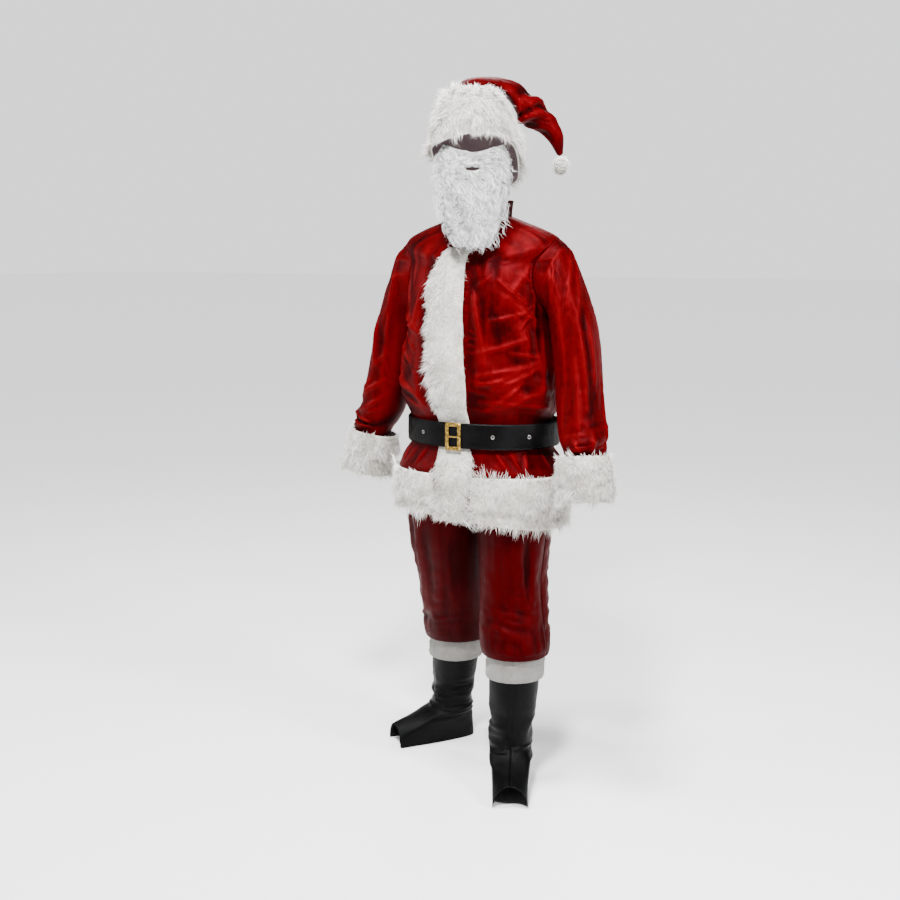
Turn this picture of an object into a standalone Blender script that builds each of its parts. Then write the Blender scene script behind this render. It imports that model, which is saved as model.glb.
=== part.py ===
"""Father Christmas suit: hat, beard, belted jacket, trousers and boot covers, in the hollow form they take when worn.

Heights in the tables are above the floor, in metres. The wearer faces -Y and +X is the wearer's left.
The part's origin is the point between the shoulders that carries the suit, so every mesh is lowered by
CARRY_HEIGHT as it is made. Cloth is an open surface with a Solidify wall; fur and belt are closed lofts.
"""

import math

import bmesh
import bpy
import numpy as np

# ---------------------------------------------------------------- driving sizes (m)
CARRY_HEIGHT = 1.52          # where the shoulders carry the suit
SEAM_GAP = 0.0003            # between neighbouring pieces
SEAM_ALLOWANCE = 0.0008      # half the gap where two curved walls meet at a seam
CLOTH = 0.0016               # velvet
VINYL = 0.0015               # boot covers
PLUSH = 0.0055               # short plush of the boot cuffs
PLACKET_BACKING = 0.0030     # clearance of the placket's base above the cloth
HEM_BACKING = 0.0017         # clearance of the hem fur's base above the cloth
HEM_SEAM_Z = 0.862           # top of the hem fur
HEM_FUR = 0.0175             # depth of its pile
HEM_REACH = 0.262            # from the body's middle to the fur, for the angles of its ends
PLACKET_CLEAR = 0.010        # from the placket's base to the hem fur, which its ragged edge fills
ARMPIT_Z = 1.272
SHOULDER_Z = 1.487
OPENING_X = 0.012            # where the two fronts meet
BELT_Z = (0.931, 0.999)
BELT_THICK = 0.0026
BELT_HALF = (0.2145, 0.1585) # half width and half depth of the belt's ring
BELT_ROUND = 2.1             # roundness exponent of the ring
BELT_SHIFT = 0.005           # the ring hangs towards the wearer's left
HEAD_CENTRE = np.array([-0.010, -0.030])
HEAD_TURN = math.radians(27)  # the head looks to the wearer's left
CROTCH_Z = 0.790
SEAT_Z = 0.905               # below this the seat turns into two legs
WAIST_Z = 1.020
WAISTBAND = (0.032, 0.003)   # height and thickness

# Torso rings: height at side, front and back, half width, front and back depth, roundness exponent
TORSO = [
    # side   front  back   half_w front_d back_d round
    (0.728, 0.742, 0.735, 0.232, 0.172, 0.176, 2.2),
    (0.800, 0.800, 0.800, 0.240, 0.170, 0.172, 2.2),
    (0.865, 0.865, 0.865, 0.239, 0.165, 0.166, 2.2),
    (0.894, 0.894, 0.894, 0.221, 0.153, 0.151, 2.2),
    (0.920, 0.920, 0.920, 0.205, 0.146, 0.143, 2.2),
    (1.008, 1.008, 1.008, 0.206, 0.146, 0.143, 2.2),
    (1.032, 1.032, 1.032, 0.219, 0.152, 0.150, 2.2),
    (1.070, 1.070, 1.070, 0.227, 0.157, 0.156, 2.3),
    (1.140, 1.140, 1.140, 0.224, 0.156, 0.154, 2.3),
    (1.210, 1.210, 1.210, 0.215, 0.152, 0.150, 2.3),
    (1.272, 1.272, 1.272, 0.209, 0.148, 0.147, 2.3),
    (1.350, 1.345, 1.350, 0.210, 0.141, 0.142, 2.3),
    (1.420, 1.400, 1.425, 0.213, 0.128, 0.131, 2.0),
    (1.487, 1.438, 1.478, 0.212, 0.106, 0.104, 1.9),
    (1.507, 1.454, 1.502, 0.168, 0.095, 0.091, 1.9),
    (1.524, 1.464, 1.522, 0.120, 0.086, 0.080, 1.95),
    (1.538, 1.470, 1.536, 0.082, 0.078, 0.070, 2.0),
]
# Armhole edge: height, angle from the centre front, angle from the centre back (degrees)
ARMHOLE = [
    (1.272, 90.0, 90.0),
    (1.300, 76.0, 75.0),
    (1.340, 65.0, 63.0),
    (1.390, 60.0, 58.0),
    (1.430, 62.0, 60.0),
    (1.462, 71.0, 70.0),
    (1.487, 90.0, 90.0),
]
# Sleeve rings: underarm side (out, height), outer side (out, height), y of the middle, half size forwards
SLEEVE_LEFT = [
    (0.2125, 1.268, 0.252, 1.452, 0.000, 0.070),
    (0.2160, 1.256, 0.284, 1.385, 0.000, 0.076),
    (0.2200, 1.215, 0.313, 1.310, 0.000, 0.077),
    (0.2270, 1.160, 0.334, 1.240, -0.003, 0.074),
    (0.2350, 1.100, 0.350, 1.155, -0.010, 0.071),
    (0.2420, 1.050, 0.360, 1.085, -0.020, 0.068),
    (0.2520, 1.000, 0.371, 1.020, -0.034, 0.066),
    (0.2670, 0.957, 0.386, 0.974, -0.050, 0.064),
    (0.2800, 0.934, 0.388, 0.948, -0.058, 0.056),
    (0.2910, 0.903, 0.388, 0.913, -0.067, 0.050),
]
SLEEVE_RIGHT = [
    (0.2125, 1.268, 0.248, 1.448, 0.000, 0.070),
    (0.2155, 1.256, 0.273, 1.380, 0.000, 0.076),
    (0.2190, 1.215, 0.301, 1.308, 0.000, 0.077),
    (0.2270, 1.160, 0.326, 1.238, 0.000, 0.074),
    (0.2360, 1.100, 0.345, 1.155, 0.000, 0.071),
    (0.2450, 1.050, 0.362, 1.085, -0.001, 0.069),
    (0.2580, 1.000, 0.377, 1.020, -0.003, 0.067),
    (0.2780, 0.964, 0.394, 0.982, -0.006, 0.064),
    (0.2930, 0.944, 0.398, 0.960, -0.009, 0.056),
    (0.3035, 0.914, 0.400, 0.926, -0.011, 0.050),
]
# Fur cuff centre line ends (out, y, height) and outer radius
CUFF_LEFT = ((0.336, -0.062, 0.924), (0.350, -0.080, 0.802), 0.077)
CUFF_RIGHT = ((0.346, -0.010, 0.936), (0.368, -0.017, 0.816), 0.075)
CUFF_INNER = 0.0600
CUFF_SIDES = 22
SLEEVE_END = 0.40            # share of the way down the cuff where the sleeve is sewn to its bore
# Seat of the trousers: height, half width, half depth
SEAT = [
    (1.020, 0.170, 0.116),
    (0.945, 0.184, 0.127),
    (0.880, 0.202, 0.136),
    (0.790, 0.212, 0.140),
]
# Leg rings from the crotch down to the elastic inside the boot: height, x, y, half width, half depth
LEG_LEFT = [
    (0.790, 0.101, 0.000, 0.0985, 0.124),
    (0.715, 0.104, -0.003, 0.0990, 0.113),
    (0.640, 0.105, -0.010, 0.0930, 0.104),
    (0.565, 0.108, -0.020, 0.0870, 0.097),
    (0.500, 0.116, -0.032, 0.0880, 0.095),
    (0.440, 0.128, -0.049, 0.0930, 0.097),
    (0.395, 0.139, -0.061, 0.0955, 0.097),
    (0.370, 0.143, -0.066, 0.0915, 0.092),
    (0.3705, 0.144, -0.067, 0.0855, 0.086),
    (0.3765, 0.144, -0.067, 0.0815, 0.082),
    (0.3774, 0.144, -0.067, 0.0720, 0.072),
    (0.3720, 0.144, -0.067, 0.0600, 0.060),
    (0.3550, 0.144, -0.067, 0.0540, 0.054),
]
LEG_RIGHT = [
    (0.790, -0.103, 0.000, 0.1005, 0.124),
    (0.715, -0.109, 0.006, 0.1070, 0.117),
    (0.640, -0.109, 0.016, 0.1035, 0.109),
    (0.565, -0.110, 0.033, 0.0970, 0.101),
    (0.500, -0.113, 0.050, 0.0940, 0.098),
    (0.425, -0.121, 0.073, 0.0950, 0.097),
    (0.360, -0.129, 0.091, 0.0955, 0.096),
    (0.335, -0.132, 0.097, 0.0915, 0.092),
    (0.3355, -0.132, 0.097, 0.0855, 0.086),
    (0.3415, -0.132, 0.097, 0.0815, 0.082),
    (0.3424, -0.132, 0.097, 0.0720, 0.072),
    (0.3370, -0.132, 0.097, 0.0600, 0.060),
    (0.3200, -0.132, 0.097, 0.0540, 0.054),
]
# Boots: centre at the top, centre at the ankle, toe-out angle, height of the cuff's foot
BOOT_LEFT = {"top": (0.144, -0.067), "ankle": (0.136, -0.076), "toe_out": 27.0, "cuff_z": 0.303}
BOOT_RIGHT = {"top": (-0.132, 0.097), "ankle": (-0.170, 0.134), "toe_out": -38.0, "cuff_z": 0.268}
BOOT_CUFF_HEIGHT = 0.074
BOOT_CUFF_RADIUS = 0.0792
SHAFT_SINK = 0.012           # the shaft ends this far below the top of its cuff
SHAFT_FOOT_Z = 0.125
SHAFT = [  # share of the way down, radius
    (0.00, 0.0725),
    (0.25, 0.0690),
    (0.55, 0.0650),
    (0.80, 0.0600),
    (1.00, 0.0590),
]
FOOT_FRONT = 0.184           # toe edge of the vinyl, ahead of the ankle
FOOT_BACK = 0.064            # heel, behind the ankle
FOOT_HALF = 0.047            # half width at the ball
FOOT_TOP_Z = 0.060           # top of the vinyl at its toe edge
FOOT_CLEAR = 0.0015          # lower edge of the vinyl above the floor
TOE_ANGLE = math.radians(52)  # part of each half, from the front seam, that ends at the toe edge
# Placket fur: height, wearer's right edge, wearer's left edge, depth of the fur
PLACKET = [
    (0.738, -0.042, 0.046, 0.022),
    (0.800, -0.044, 0.048, 0.024),
    (0.865, -0.046, 0.054, 0.024),
    (0.900, -0.048, 0.050, 0.018),
    (0.922, -0.048, 0.042, 0.0083),
    (1.006, -0.050, 0.038, 0.0083),
    (1.030, -0.058, 0.036, 0.018),
    (1.080, -0.064, 0.034, 0.022),
    (1.160, -0.070, 0.026, 0.021),
    (1.240, -0.078, 0.021, 0.020),
    (1.320, -0.086, 0.020, 0.020),
    (1.380, -0.082, 0.021, 0.019),
    (1.430, -0.068, 0.023, 0.018),
    (1.456, -0.052, 0.024, 0.014),
]
# Hat brim by the angle round the head (degrees from the face, positive to its left): lower edge, upper edge
BRIM = [
    (-180, 1.632, 1.840),
    (-130, 1.668, 1.848),
    (-90, 1.708, 1.858),
    (-50, 1.724, 1.862),
    (0, 1.742, 1.866),
    (50, 1.730, 1.862),
    (78, 1.704, 1.858),
    (105, 1.642, 1.854),
    (140, 1.626, 1.846),
    (180, 1.632, 1.840),
]
BRIM_INNER = (0.093, 0.107)   # half width and half depth of the head opening
BRIM_DOME = (1.0, 0.97, 0.86, 0.62)  # share of that size from the lower to the upper edge
BRIM_FUR = 0.022              # depth of the fur at the middle of the band
BRIM_FLARE = 0.014            # how far the lower edge stands away from the head
# Hat crown: offset along the fall, offset behind it, height, radius along, radius across, lean from level (degrees)
CROWN = [
    (-0.010, -0.020, 1.875, 0.0540, 0.0600, 6.0),
    (0.016, -0.016, 1.875, 0.0460, 0.0560, 24.0),
    (0.052, -0.006, 1.866, 0.0370, 0.0500, 55.0),
    (0.088, 0.004, 1.846, 0.0380, 0.0460, 88.0),
    (0.114, 0.012, 1.821, 0.0380, 0.0420, 116.0),
    (0.140, 0.018, 1.799, 0.0340, 0.0360, 136.0),
    (0.172, 0.024, 1.776, 0.0265, 0.0290, 144.0),
    (0.197, 0.028, 1.742, 0.0190, 0.0200, 160.0),
    (0.208, 0.030, 1.703, 0.0085, 0.0085, 171.0),
]
TAIL_TURN = math.radians(30)  # the crown falls towards the wearer's left and back
POMPOM = (0.211, 0.031, 1.672)
POMPOM_RADIUS = 0.0225
EAR_ANGLE = math.radians(80)  # the beard's side edges, from the chin line
# Beard: height, half width, how far forward, how far the sides go back
BEARD = [
    (1.716, 0.084, 0.112, 0.088),
    (1.690, 0.092, 0.118, 0.092),
    (1.660, 0.098, 0.124, 0.090),
    (1.625, 0.101, 0.133, 0.086),
    (1.585, 0.096, 0.141, 0.074),
    (1.540, 0.084, 0.147, 0.058),
    (1.500, 0.071, 0.152, 0.044),
    (1.468, 0.056, 0.155, 0.032),
    (1.440, 0.034, 0.156, 0.018),
]
BEARD_THICK = 0.015
MOUTH_Z = 1.657
MOUTH_HALF = (0.026, 0.009)
ELASTIC_Z = 1.660
ELASTIC_RADIUS = 0.0014
# Buckle and eyelets
BUCKLE_X = 0.003
BUCKLE_RISE = -0.003
BUCKLE_OUTER = (0.0240, 0.0375)
BUCKLE_WINDOW = (0.0125, 0.0265)
BUCKLE_DEEP = 0.0050
PRONG_RADIUS = 0.0022
EYELETS = (0.111, 0.190, -0.100)  # how far along X
EYELET_RADIUS = 0.0046
EYELET_WIRE = 0.0011

COLOURS = {
    "velvet": ((0.36, 0.008, 0.012), 0.55, 0.0),
    "fur": ((0.86, 0.85, 0.82), 0.90, 0.0),
    "vinyl": ((0.015, 0.016, 0.018), 0.35, 0.0),
    "gold": ((0.46, 0.29, 0.09), 0.35, 1.0),
    "steel": ((0.55, 0.55, 0.56), 0.35, 1.0),
    "elastic": ((0.80, 0.78, 0.74), 0.80, 0.0),
}


# ---------------------------------------------------------------- shared tools
def clear_scene():
    """Remove whatever the file holds."""
    for thing in list(bpy.data.objects):
        bpy.data.objects.remove(thing, do_unlink=True)


def finish(name):
    """A Principled material of one of the named colours, made once."""
    material = bpy.data.materials.get(name)
    if material is None:
        colour, roughness, metallic = COLOURS[name]
        material = bpy.data.materials.new(name)
        material.use_nodes = True
        shader = material.node_tree.nodes["Principled BSDF"]
        shader.inputs["Base Color"].default_value = (*colour, 1.0)
        shader.inputs["Roughness"].default_value = roughness
        shader.inputs["Metallic"].default_value = metallic
    return material


def keep(name, mesh, material):
    """Put a mesh in the suit's collection as a named, smooth-shaded object."""
    mesh.shade_smooth()
    thing = bpy.data.objects.new(name, mesh)
    mesh.materials.append(finish(material))
    bpy.data.collections["suit"].objects.link(thing)
    return thing


def column(rows, heights, index):
    """Smooth values of one table column at the given heights (cubic through the rows, flat at the ends)."""
    table = np.array(rows, float)
    table = table[np.argsort(table[:, 0])]
    x, y = table[:, 0], table[:, index]
    slope = np.gradient(y, x)
    at = np.clip(heights, x[0], x[-1])
    k = np.clip(np.searchsorted(x, at, side="right") - 1, 0, len(x) - 2)
    width = x[k + 1] - x[k]
    t = (at - x[k]) / width
    return (
        y[k] * (1 + 2 * t) * (1 - t) ** 2
        + slope[k] * width * t * (1 - t) ** 2
        + y[k + 1] * t * t * (3 - 2 * t)
        + slope[k + 1] * width * t * t * (t - 1)
    )


def through(points, steps):
    """Points along a smooth curve through the given rows of numbers."""
    points = np.array(points, float)
    table = np.column_stack([np.arange(len(points)), points])
    where = np.linspace(0, len(points) - 1, steps)
    return np.column_stack([column(table, where, i + 1) for i in range(points.shape[1])])


def grid_mesh(name, grid, wrap, pole=None):
    """A quad surface over a grid of points [row, column, xyz], turned so that its faces look away from its rows' middles."""
    rows, columns = grid.shape[:2]
    middle = grid.mean(axis=1, keepdims=True)
    across = np.roll(grid, -1, axis=1) - grid
    along = np.gradient(grid, axis=0)
    facing = (np.cross(across, along)[:, :-1] * (grid - middle)[:, :-1]).sum()
    lowered = grid.reshape(-1, 3) - (0, 0, CARRY_HEIGHT)
    number = np.arange(rows * columns).reshape(rows, columns)
    after = np.roll(number, -1, axis=1) if wrap else number[:, 1:]
    first = number if wrap else number[:, :-1]
    quads = np.stack([first[:-1], after[:-1], after[1:], first[1:]], axis=-1).reshape(-1, 4)
    faces = [tuple(map(int, q)) for q in (quads if facing > 0 else quads[:, ::-1])]
    points = [tuple(map(float, p)) for p in lowered]
    if pole is not None:
        points.append(tuple(float(c) for c in np.asarray(pole) - (0, 0, CARRY_HEIGHT)))
        last = zip(number[-1], np.roll(number[-1], -1))
        fan = [(int(a), int(b), len(points) - 1) for a, b in last]
        faces += fan if facing > 0 else [f[::-1] for f in fan]
    mesh = bpy.data.meshes.new(name)
    mesh.from_pydata(points, [], faces)
    return mesh


def shell(name, grid, material, thickness, wrap=False, pole=None):
    """A cloth piece: the grid is its outer face and the wall goes inwards."""
    thing = keep(name, grid_mesh(name, grid, wrap, pole), material)
    wall = thing.modifiers.new("wall", "SOLIDIFY")
    wall.thickness = thickness
    wall.offset = -1.0
    wall.use_even_offset = False
    return thing


def loft(name, sections, material, ring=False):
    """A closed solid through closed sections [section, point, xyz]; ring joins the last section to the first."""
    count, points = sections.shape[:2]
    number = np.arange(count * points).reshape(count, points)
    after = np.roll(number, -1, axis=0) if ring else number[1:]
    before = number if ring else number[:-1]
    quads = np.stack([before, np.roll(before, -1, axis=1), np.roll(after, -1, axis=1), after], axis=-1)
    faces = [tuple(map(int, q)) for q in quads.reshape(-1, 4)]
    if not ring:
        faces += [tuple(map(int, number[0])), tuple(map(int, number[-1][::-1]))]
    mesh = bpy.data.meshes.new(name)
    mesh.from_pydata([tuple(map(float, p)) for p in sections.reshape(-1, 3) - (0, 0, CARRY_HEIGHT)], [], faces)
    body = bmesh.new()
    body.from_mesh(mesh)
    bmesh.ops.recalc_face_normals(body, faces=body.faces)
    body.to_mesh(mesh)
    body.free()
    return keep(name, mesh, material)


def oval(angle, half_width, half_depth, power):
    """Point offsets on a superellipse; the angle runs from the front (-Y) towards the wearer's left (+X)."""
    s, c = np.sin(angle), np.cos(angle)
    return (
        half_width * np.sign(s) * np.abs(s) ** (2 / power),
        -half_depth * np.sign(c) * np.abs(c) ** (2 / power),
    )


def bump(x, centre, width):
    """A smooth hill of height 1."""
    return np.exp(-(((x - centre) / width) ** 2))


# ---------------------------------------------------------------- jacket
def drape(angle, height):
    """How far the jacket's cloth stands out in its folds."""
    skirt = bump(height, 0.80, 0.055)
    blouse = bump(height, 1.055, 0.045)
    chest = bump(height, 1.23, 0.10)
    front = np.clip(np.cos(angle), 0, 1)
    return (
        0.0045 * skirt * np.sin(7 * angle + 0.6)
        + 0.0042 * blouse * np.sin(11 * angle + 6 * height)
        + 0.0042 * chest * front * np.sin(5 * angle + 34 * height)
        + 0.0030 * bump(height, 1.14, 0.05) * np.sin(7 * angle - 40 * height)
    )


def torso(angle, level):
    """The jacket's outer surface. level is the height at the side seam; angle is from the centre front."""
    front_share = np.clip(np.cos(angle), 0, 1) ** 2
    back_share = np.clip(-np.cos(angle), 0, 1) ** 2
    side, front, back = (column([(r[0], r[i]) for r in TORSO], level, 1) for i in range(3))
    z = side + (front - side) * front_share + (back - side) * back_share
    z = z + 0.018 * bump(level, 0.728, 0.05) * np.sin(-angle)
    half = column([(r[0], r[3]) for r in TORSO], level, 1)
    deep = np.where(
        np.cos(angle) > 0,
        column([(r[0], r[4]) for r in TORSO], level, 1),
        column([(r[0], r[5]) for r in TORSO], level, 1),
    )
    power = column([(r[0], r[6]) for r in TORSO], level, 1)
    x, y = oval(angle, half, deep, power)
    away = drape(angle, level)
    reach = np.hypot(x, y) + 1e-9
    return np.stack([x + away * x / reach, y + away * y / reach, z], axis=-1)


def armhole_angles(level):
    """Angles of the side seam or armhole edge: from the front, and from the back."""
    front = np.radians(np.where(level < ARMPIT_Z, 90.0, column(ARMHOLE, level, 1)))
    back = np.radians(np.where(level < ARMPIT_Z, 90.0, column(ARMHOLE, level, 2)))
    above = level > SHOULDER_Z
    return np.where(above, math.pi / 2, front), np.where(above, math.pi / 2, back)


def torso_levels():
    """Row heights, with rows exactly on the armpit, the shoulder point and the neck."""
    lower = np.linspace(TORSO[0][0], ARMPIT_Z, 13)
    arm = np.linspace(ARMPIT_Z, SHOULDER_Z, 8)
    top = np.linspace(SHOULDER_Z, TORSO[-1][0], 3)
    return np.concatenate([lower, arm[1:], top[1:]])


def build_jacket_body():
    """Two fronts that meet a little to the wearer's left of the centre, and the back."""
    levels = torso_levels()
    front_edge, back_edge = armhole_angles(levels)
    half = column([(r[0], r[3]) for r in TORSO], levels, 1)
    opening = np.arcsin(np.clip(OPENING_X / half, 0, 0.4))
    gap = np.where(levels > ARMPIT_Z, 1.5 * SEAM_ALLOWANCE, SEAM_GAP) / half
    share = np.linspace(0, 1, 9)
    for name, start, end in (
        ("jacket_front_left", opening + gap, front_edge - gap),
        ("jacket_front_right", opening - gap, -front_edge + gap),
    ):
        angles = start[:, None] + (end - start)[:, None] * share
        shell(name, torso(angles, levels[:, None] + 0 * angles), "velvet", CLOTH)
    share = np.linspace(0, 1, 14)
    start, end = math.pi - back_edge + gap, math.pi + back_edge - gap
    angles = start[:, None] + (end - start)[:, None] * share
    shell("jacket_back", torso(angles, levels[:, None] + 0 * angles), "velvet", CLOTH)


def armhole_loop(side, count):
    """Points round an armhole: armpit, up the front, shoulder point, down the back."""
    half = count // 2
    levels = np.linspace(ARMPIT_Z, SHOULDER_Z, half + 1)
    front_edge, back_edge = armhole_angles(levels)
    front = torso(side * front_edge, levels)
    back = torso(side * (math.pi - back_edge), levels)
    return np.concatenate([front[:-1], back[::-1][:-1]])


def sleeve_folds(around, along):
    """Long folds on the upper arm, and slanting crumples towards the cuff."""
    upper = bump(along, 0.45, 0.22)
    lower = bump(along, 0.80, 0.14)
    return 0.0040 * upper * np.sin(3 * around + 3 * along) + 0.0042 * lower * np.sin(
        2 * around + 30 * along
    )


def cuff_line(side, cuff):
    """Top and foot of a cuff's centre line."""
    return (np.array([side * x, y, z]) for x, y, z in cuff[:2])


def build_sleeve(name, side, table, cuff, count=16, rows=17):
    """A sleeve that leaves the armhole's edge and narrows to the wrist, then flares to its seam in the cuff's bore."""
    around = 2 * math.pi * np.arange(count) / count
    rings = [armhole_loop(side, count) + np.array([side * (SEAM_GAP + SEAM_ALLOWANCE), 0, 0])]
    for under_x, under_z, outer_x, outer_z, y, forward in table:
        middle = np.array([side * (under_x + outer_x) / 2, y, (under_z + outer_z) / 2])
        outwards = np.array([side * (outer_x - under_x) / 2, 0, (outer_z - under_z) / 2])
        forwards = np.array([0, -forward, 0])
        rings.append(middle - np.cos(around)[:, None] * outwards + np.sin(around)[:, None] * forwards)
    top, foot = cuff_line(side, cuff)
    way = (foot - top) / np.linalg.norm(foot - top)
    forwards = np.array([0, -1.0, 0]) + way * way[1]
    forwards /= np.linalg.norm(forwards)
    outwards = side * np.cross(forwards, way)
    radius = CUFF_INNER * math.cos(math.pi / CUFF_SIDES) - 1.5 * SEAM_GAP
    sewn = top + (foot - top) * SLEEVE_END
    rings.append(sewn + radius * (np.sin(around)[:, None] * forwards - np.cos(around)[:, None] * outwards))
    stack = np.stack(rings)
    grid = through(stack.reshape(len(stack), -1), rows).reshape(rows, count, 3)
    along = np.linspace(0, 1, rows)[:, None]
    away = grid - grid.mean(axis=1, keepdims=True)
    away /= np.linalg.norm(away, axis=2, keepdims=True)
    clear_of_body = 1 - np.clip(1.4 * np.cos(around), 0, 1)[None, :]
    starts = np.clip(along * 5 - 0.6, 0, 1)
    ends = np.clip((1 - along) * 8, 0, 1)
    folds = sleeve_folds(around[None, :] * side, along) * starts * ends * clear_of_body
    shell(name, grid + away * folds[..., None], "velvet", CLOTH, wrap=True)


def build_collar():
    """A plain stand collar, open at the front under the beard."""
    angles = np.linspace(math.radians(16), math.radians(350), 17)
    base = torso(angles, np.full_like(angles, TORSO[-1][0]))
    lift = np.array([0.0006, 0.012, 0.026, 0.040])
    flare = np.array([0.0, 0.0, 0.0015, 0.004])
    out = base / np.linalg.norm(base[:, :2], axis=1, keepdims=True) * (1, 1, 0)
    grid = base[None] + lift[:, None, None] * (0, 0, 1) + flare[:, None, None] * out[None]
    shell("jacket_collar", grid, "velvet", 0.003)


# ---------------------------------------------------------------- fur trims
def tufts(around, along, seed, size):
    """Uneven pile made of a few crossing waves."""
    return size * (
        0.45 * np.sin(around + 2.1 * seed)
        + 0.35 * np.sin(2.3 * around + 3.7 * along + seed)
        + 0.30 * np.sin(3.9 * along + 1.7 * seed)
    )


def build_placket():
    """The long-pile strip on the right front, over the opening, thin where the belt presses it."""
    table = np.array(PLACKET)
    belt_rows = table[4:7, 0]
    heights = np.concatenate(
        [np.linspace(table[0, 0], table[3, 0], 7), belt_rows, np.linspace(1.07, table[-1, 0], 12)]
    )
    sections = []
    for number, height in enumerate(heights):
        right, left, deep = (float(column(table, np.array(height), i)) for i in (1, 2, 3))
        half = float(column([(r[1], r[3]) for r in TORSO], np.array(height), 1))
        x = np.linspace(right, left, 5)
        angle = np.arcsin(np.clip(x / half, -0.9, 0.9))
        level = float(column([(r[1], r[0]) for r in TORSO], np.array(height), 1))
        base = torso(angle, np.full_like(angle, level))
        base[:, 2] = height
        inner = base - (0, PLACKET_BACKING * (1 + 2 * bump(height, PLACKET[-1][0], 0.04)), 0)
        loose = 0.3 if belt_rows[0] <= height <= belt_rows[1] else 1.0
        pile = deep * np.array([0.5, 1.0, 1.05, 1.0, 0.5])
        pile = pile + loose * tufts(x * 90, number, 1.0, 0.0028)
        outer = inner - np.stack([0 * pile, pile, 0 * pile], axis=-1)
        edge = loose * 0.004 * math.sin(2.4 * number)
        outer[0, 0] += edge - 0.004 * loose
        outer[-1, 0] += edge * 0.5 + 0.002 * loose
        sections.append(np.concatenate([inner, outer[::-1]]))
    loft("fur_placket", np.array(sections), "fur")


def build_hem():
    """The hem fur runs from one side of the placket round the back to its other side."""
    low_rows = [row for row in PLACKET if row[0] < HEM_SEAM_Z + 0.01]
    right = min(row[1] for row in low_rows) - PLACKET_CLEAR
    left = max(row[2] for row in low_rows) + PLACKET_CLEAR
    start = math.asin(left / HEM_REACH)
    end = 2 * math.pi - math.asin(-right / HEM_REACH)
    angles = np.linspace(start, end, 40)
    rise = np.array([0.0, 0.30, 0.62, 1.0])
    bottom = TORSO[0][0]
    bottom_z = torso(angles, np.full_like(angles, bottom))[:, 2] - 0.008
    sections = []
    for number, (angle, low) in enumerate(zip(angles, bottom_z)):
        levels = np.linspace(bottom + 0.001, HEM_SEAM_Z, 4)
        base = torso(np.full(4, angle), levels)
        away = np.array([math.sin(angle), -math.cos(angle), 0])
        inner = base + away * HEM_BACKING
        pile = HEM_FUR + tufts(number * 0.9, rise * 4, 2.0, 0.0022)
        pile = pile * np.array([0.70, 1.05, 1.05, 0.55])
        outer = inner + away * pile[:, None]
        inner[0, 2] = low + 0.004
        outer[0, 2] = low + 0.002 * math.sin(2.6 * number)
        outer[-1, 2] += 0.003 * math.sin(1.9 * number)
        sections.append(np.concatenate([inner, outer[::-1]]))
    loft("fur_hem", np.array(sections), "fur")


def fur_band(name, start, end, inner_radius, outer_radius, seed):
    """A fur tube round a straight centre line, with an open bore."""
    way = (end - start) / np.linalg.norm(end - start)
    first = np.cross(way, (0, 1, 0))
    first /= np.linalg.norm(first)
    second = np.cross(way, first)
    stops = np.array([0.0, 0.0, 0.18, 0.5, 0.82, 1.0, 1.0])
    pile = np.array([0.0, 0.62, 0.97, 1.0, 1.0, 0.66, 0.0])
    sections = []
    for number in range(CUFF_SIDES):
        turn = 2 * math.pi * number / CUFF_SIDES
        away = first * math.cos(turn) + second * math.sin(turn)
        radius = inner_radius + (outer_radius - inner_radius) * pile
        radius = radius + np.where(pile > 0.9, tufts(number * 1.1, stops * 5, seed, 0.0018), 0)
        ragged = np.where(stops > 0.9, 0.003 * math.sin(2.2 * number + seed), 0)
        sections.append(start + (end - start) * stops[:, None] + way * ragged[:, None] + away * radius[:, None])
    loft(name, np.array(sections), "fur", ring=True)


def build_cuffs():
    """Fur cuffs over the sleeve ends."""
    for name, side, cuff, seed in (("fur_cuff_left", 1, CUFF_LEFT, 0.5), ("fur_cuff_right", -1, CUFF_RIGHT, 1.5)):
        top, foot = cuff_line(side, cuff)
        fur_band(name, top, foot, CUFF_INNER, cuff[2], seed)


# ---------------------------------------------------------------- belt
def belt_line(angles, out):
    """Points of the belt's ring, which stands off the body a little on the wearer's left."""
    x, y = oval(angles, BELT_HALF[0] + out, BELT_HALF[1] + out, BELT_ROUND)
    return x + BELT_SHIFT, y


def band_round(name, angles, out, low, high, thick, material, ring):
    """A flat band standing on edge along the belt's line."""
    x0, y0 = belt_line(angles, out)
    x1, y1 = belt_line(angles, out + thick)
    inner_low, inner_high = (np.stack([x0, y0, 0 * x0 + z], axis=-1) for z in (low, high))
    outer_low, outer_high = (np.stack([x1, y1, 0 * x1 + z], axis=-1) for z in (low, high))
    sections = np.stack([inner_low, outer_low, outer_high, inner_high], axis=1)
    return loft(name, sections, material, ring=ring)


def rim(outer, inner, deep, y, centre_x, centre_z, name, material):
    """A rectangular frame standing in the XZ plane."""
    def corners(half):
        return np.array([(-half[0], -half[1]), (half[0], -half[1]), (half[0], half[1]), (-half[0], half[1])])

    sections = []
    for big, small in zip(corners(outer), corners(inner)):
        sections.append(
            [
                (centre_x + small[0], y, centre_z + small[1]),
                (centre_x + big[0], y, centre_z + big[1]),
                (centre_x + big[0], y - deep, centre_z + big[1]),
                (centre_x + small[0], y - deep, centre_z + small[1]),
            ]
        )
    return loft(name, np.array(sections), material, ring=True)


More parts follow.
